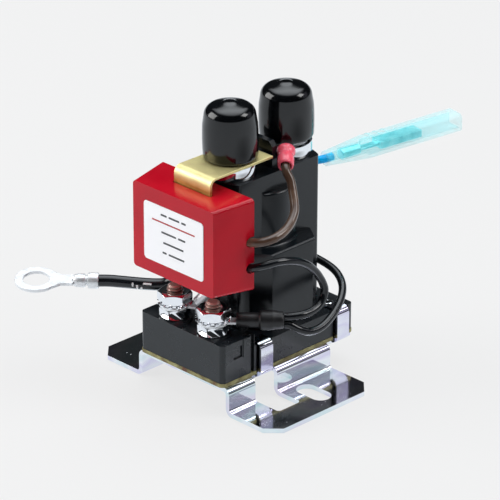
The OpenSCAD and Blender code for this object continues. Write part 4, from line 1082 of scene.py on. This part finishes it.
class RELAY_OT_main_terminal(bpy.types.Operator):
    """Terminal of the brown lead with its clear red insulator"""

    bl_idname = "relay.main_terminal"
    bl_label = "Main terminal"

    def execute(self, context):
        dress("main_ring_terminal", "main_ring", 0.12 * MM, "tin_plate", "terminal_tin", 2)
        insulator = turned("insulator", [
            (0, 0.6), (2.0, 0.5), (2.3, 0.12), (2.6, 0), (2.84, 0.12), (2.9, 0.5), (2.86, 1.2), (2.6, 1.9),
            (2.32, 2.4), (2.24, 2.8), (2.3, 3.2), (2.46, 3.7), (2.55, 4.3), (2.57, 5.2), (2.52, 6.4),
            (2.42, 7.3), (2.25, 7.85), (1.95, 8.0), (1.7, 7.85), (1.6, 7.4), (1.5, 6.6), (0, 6.5)], 64)
        smooth(insulator, 60)
        angle = -46
        slope = 105
        end = middle_of("main_stud_rear") + heading(angle) * 10.6
        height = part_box("main_ring_terminal")[0].z / MM + 0.4
        turn = Matrix.Rotation(math.radians(angle), 4, "Z") @ Matrix.Rotation(math.radians(slope), 4, "Y")
        place(insulator, (end.x, end.y, height), turn)
        hand_in(insulator, "clear_red", "insulator_red", "red_insulator")
        return {"FINISHED"}


class RELAY_OT_held_leads(bpy.types.Operator):
    """Leads that are held at both ends"""

    bl_idname = "relay.held_leads"
    bl_label = "Held leads"

    def execute(self, context):
        for name, route, diameter, finish, slot, node in (
                ("brown_wire", BROWN_ROUTE, 2.75, "brown_jacket", "lead_brown", "brown_lead"),
                ("inner_wire", INNER_ROUTE, 2.5, "black_jacket", "lead_black", "black_lead_inner"),
                ("outer_wire", OUTER_ROUTE, 2.5, "black_jacket", "lead_black", "black_lead_outer"),
                ("left_wire", LEFT_ROUTE, 2.5, "black_jacket", "lead_black", "coil_lead_left")):
            choose(lead(name, route, diameter))
            bpy.ops.object.convert(target="MESH")
            hand_in(context.object, finish, slot, node)
        return {"FINISHED"}


class RELAY_OT_inner_parts(bpy.types.Operator):
    """Finishes of the magnet, the contacts and the main studs"""

    bl_idname = "relay.inner_parts"
    bl_label = "Inner parts"

    def execute(self, context):
        finishes = {
            "magnet_iron": ("yoke_frame", "flux_plate", "fixed_core", "plunger", "rod_clip"),
            "natural_nylon": ("coil_bobbin",),
            "winding": ("coil_winding",),
            "rod_steel": ("push_rod",),
            "bush": ("contact_bush",),
            "contact_copper": ("contact_disc",),
            "bright_zinc": ("main_stud_front", "main_stud_rear", "main_washers", "main_nut_front",
                            "main_nut_rear"),
        }
        for finish, nodes in finishes.items():
            for node in nodes:
                finish_node(node, finish)
        # the spring is copied as the CAD node has it; in the relay it is pressed against the fixed core as
        # the plunger rises
        spring = copy_of("return_spring", "spring")
        smooth(spring, 50)
        hand_in(spring, "rod_steel", "rod_steel", "return_spring")
        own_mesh(spring)
        return {"FINISHED"}


class RELAY_OT_stage(bpy.types.Operator):
    """Floor, backdrop and lights"""

    bl_idname = "relay.stage"
    bl_label = "Stage"

    def floor(self, stage):
        """A pale floor that the camera sees plain. The relay mirrors it cool, with a painted patch of shade
        far to the right that shows only in reflections.
        """
        clear_selection()
        bpy.ops.mesh.primitive_plane_add(size=8)
        floor = bpy.context.object
        floor.name = "floor"
        material, tree, shader = shader_tree("Floor")
        shader.inputs["Base Color"].default_value = (*stage.floor, 1)
        shader.inputs["Roughness"].default_value = 0.9
        shader.inputs["Specular IOR Level"].default_value = 0.1
        # painted shade: reflections see the floor darkened round a point 165 mm to the right of the relay
        away = tree.nodes.new("ShaderNodeVectorMath")
        away.operation = "DISTANCE"
        away.inputs[1].default_value = (0.165, 0.02, 0)
        tree.links.new(tree.nodes.new("ShaderNodeTexCoord").outputs["Object"], away.inputs[0])
        mirrored_with_painted_shade = ramp(tree, span(tree, away.outputs["Value"], 0.0, 1.0, 0.02, 0.13),
                    [(0.0, shade(stage.mirrored, 0.35)), (1.0, tuple(stage.mirrored))])
        path = tree.nodes.new("ShaderNodeLightPath").outputs
        glow = tree.nodes.new("ShaderNodeEmission")
        glow.inputs["Strength"].default_value = 1.0
        tree.links.new(mixed(tree, path["Is Camera Ray"], mirrored_with_painted_shade, tuple(stage.floor)), glow.inputs["Color"])
        mirrored = greater(tree, path["Is Glossy Ray"], path["Is Transmission Ray"])
        seen = greater(tree, path["Is Camera Ray"], mirrored)
        shown = span(tree, seen, 0.0, 0.85, 0.0, 1.0)
        output(tree, shown, shader.outputs["BSDF"], glow.outputs["Emission"], "Material Output")
        floor.data.materials.append(material)

    def studio(self, stage):
        """A world that is dark around the horizon, with a soft glow overhead, and plain behind the relay."""
        world = bpy.data.worlds.new("Studio")
        bpy.context.scene.world = world
        world.use_nodes = True
        tree = world.node_tree
        sky = tree.nodes["Background"]
        sky.inputs["Color"].default_value = (0.90, 0.95, 1.0, 1)
        height = tree.nodes.new("ShaderNodeVectorMath")
        height.operation = "DOT_PRODUCT"
        height.inputs[1].default_value = Vector((-0.10, 0.19, 0.97)).normalized()
        tree.links.new(tree.nodes.new("ShaderNodeTexCoord").outputs["Generated"], height.inputs[0])
        glow = span(tree, height.outputs["Value"], 0.022, 2.75, 0.73, 0.96)
        glow.node.interpolation_type = "SMOOTHSTEP"
        tree.links.new(glow, sky.inputs["Strength"])
        plain = tree.nodes.new("ShaderNodeBackground")
        plain.inputs["Color"].default_value = (*stage.floor, 1)
        plain.inputs["Strength"].default_value = 1.0
        path = tree.nodes.new("ShaderNodeLightPath").outputs
        seen = greater(tree, path["Is Camera Ray"], path["Is Transmission Ray"])
        output(tree, seen, sky.outputs["Background"], plain.outputs["Background"], "World Output")

    def light(self, name, place_at, size, power, colour=(1, 1, 1)):
        """A flat lamp that faces the relay, with its first side level with the picture."""
        clear_selection()
        bpy.ops.object.light_add(type="AREA", location=place_at)
        lamp = bpy.context.object
        lamp.name = name
        lamp.data.shape = "RECTANGLE"
        lamp.data.size, lamp.data.size_y = size
        lamp.data.energy = power
        lamp.data.color = colour
        back = (Vector(place_at) - Vector((0, 0, 0.04))).normalized()
        across = Vector((-TO_CAMERA.y, TO_CAMERA.x, 0))
        across = (across - back * across.dot(back)).normalized()
        lamp.rotation_euler = Matrix((across, back.cross(across), back)).transposed().to_euler()

    def execute(self, context):
        stage = context.scene.relay_stage
        self.floor(stage)
        self.studio(stage)
        self.light("Overhead", (-0.289, 0.286, 0.95), (1.2, 0.8), stage.overhead_power, (0.93, 0.97, 1.0))
        self.light("Left", (-0.66, -0.62, 0.46), (0.66, 0.66), stage.left_power)
        self.light("Right", (0.61, 0.47, 0.68), (0.38, 0.38), stage.right_power)
        self.light("Rear panel", (0.55, 0.75, 0.42), (0.6, 0.5), 0.34, (0.84, 0.84, 1.0))
        context.scene.view_settings.view_transform = "Standard"
        return {"FINISHED"}


class RELAY_PT_panel(bpy.types.Panel):
    """Lists the steps and the values of the relay's looks"""

    bl_label = "Relay"
    bl_idname = "RELAY_PT_panel"
    bl_space_type = "VIEW_3D"
    bl_region_type = "UI"
    bl_category = "Relay"

    def draw(self, context):
        for group in (context.scene.relay_finishes, context.scene.relay_shapes, context.scene.relay_stage):
            column = self.layout.column(align=True)
            for name in group.__annotations__:
                column.prop(group, name)
        for operator in OPERATORS:
            self.layout.operator(operator.bl_idname)


OPERATORS = (RELAY_OT_camera, RELAY_OT_ground_lead, RELAY_OT_override_lead, RELAY_OT_bracket,
             RELAY_OT_mouldings, RELAY_OT_collars, RELAY_OT_caps, RELAY_OT_link, RELAY_OT_module,
             RELAY_OT_coil_studs, RELAY_OT_coil_terminals, RELAY_OT_main_terminal, RELAY_OT_held_leads,
             RELAY_OT_inner_parts, RELAY_OT_stage)
CLASSES = (RelayFinishes, RelayShapes, RelayStage, *OPERATORS, RELAY_PT_panel)


def register():
    for item in CLASSES:
        bpy.utils.register_class(item)
    bpy.types.Scene.relay_finishes = bpy.props.PointerProperty(type=RelayFinishes)
    bpy.types.Scene.relay_shapes = bpy.props.PointerProperty(type=RelayShapes)
    bpy.types.Scene.relay_stage = bpy.props.PointerProperty(type=RelayStage)


def unregister():
    del bpy.types.Scene.relay_stage
    del bpy.types.Scene.relay_shapes
    del bpy.types.Scene.relay_finishes
    for item in reversed(CLASSES):
        bpy.utils.unregister_class(item)


def main():
    register()
    bpy.ops.relay.camera()
    bpy.ops.relay.ground_lead()
    bpy.ops.relay.override_lead()
    bpy.ops.relay.bracket()
    bpy.ops.relay.mouldings()
    bpy.ops.relay.collars()
    bpy.ops.relay.caps()
    bpy.ops.relay.link()
    bpy.ops.relay.module()
    bpy.ops.relay.coil_studs()
    bpy.ops.relay.coil_terminals()
    bpy.ops.relay.main_terminal()
    bpy.ops.relay.held_leads()
    bpy.ops.relay.inner_parts()
    bpy.ops.relay.stage()
    clear_selection()


if __name__ == "__main__":
    main()
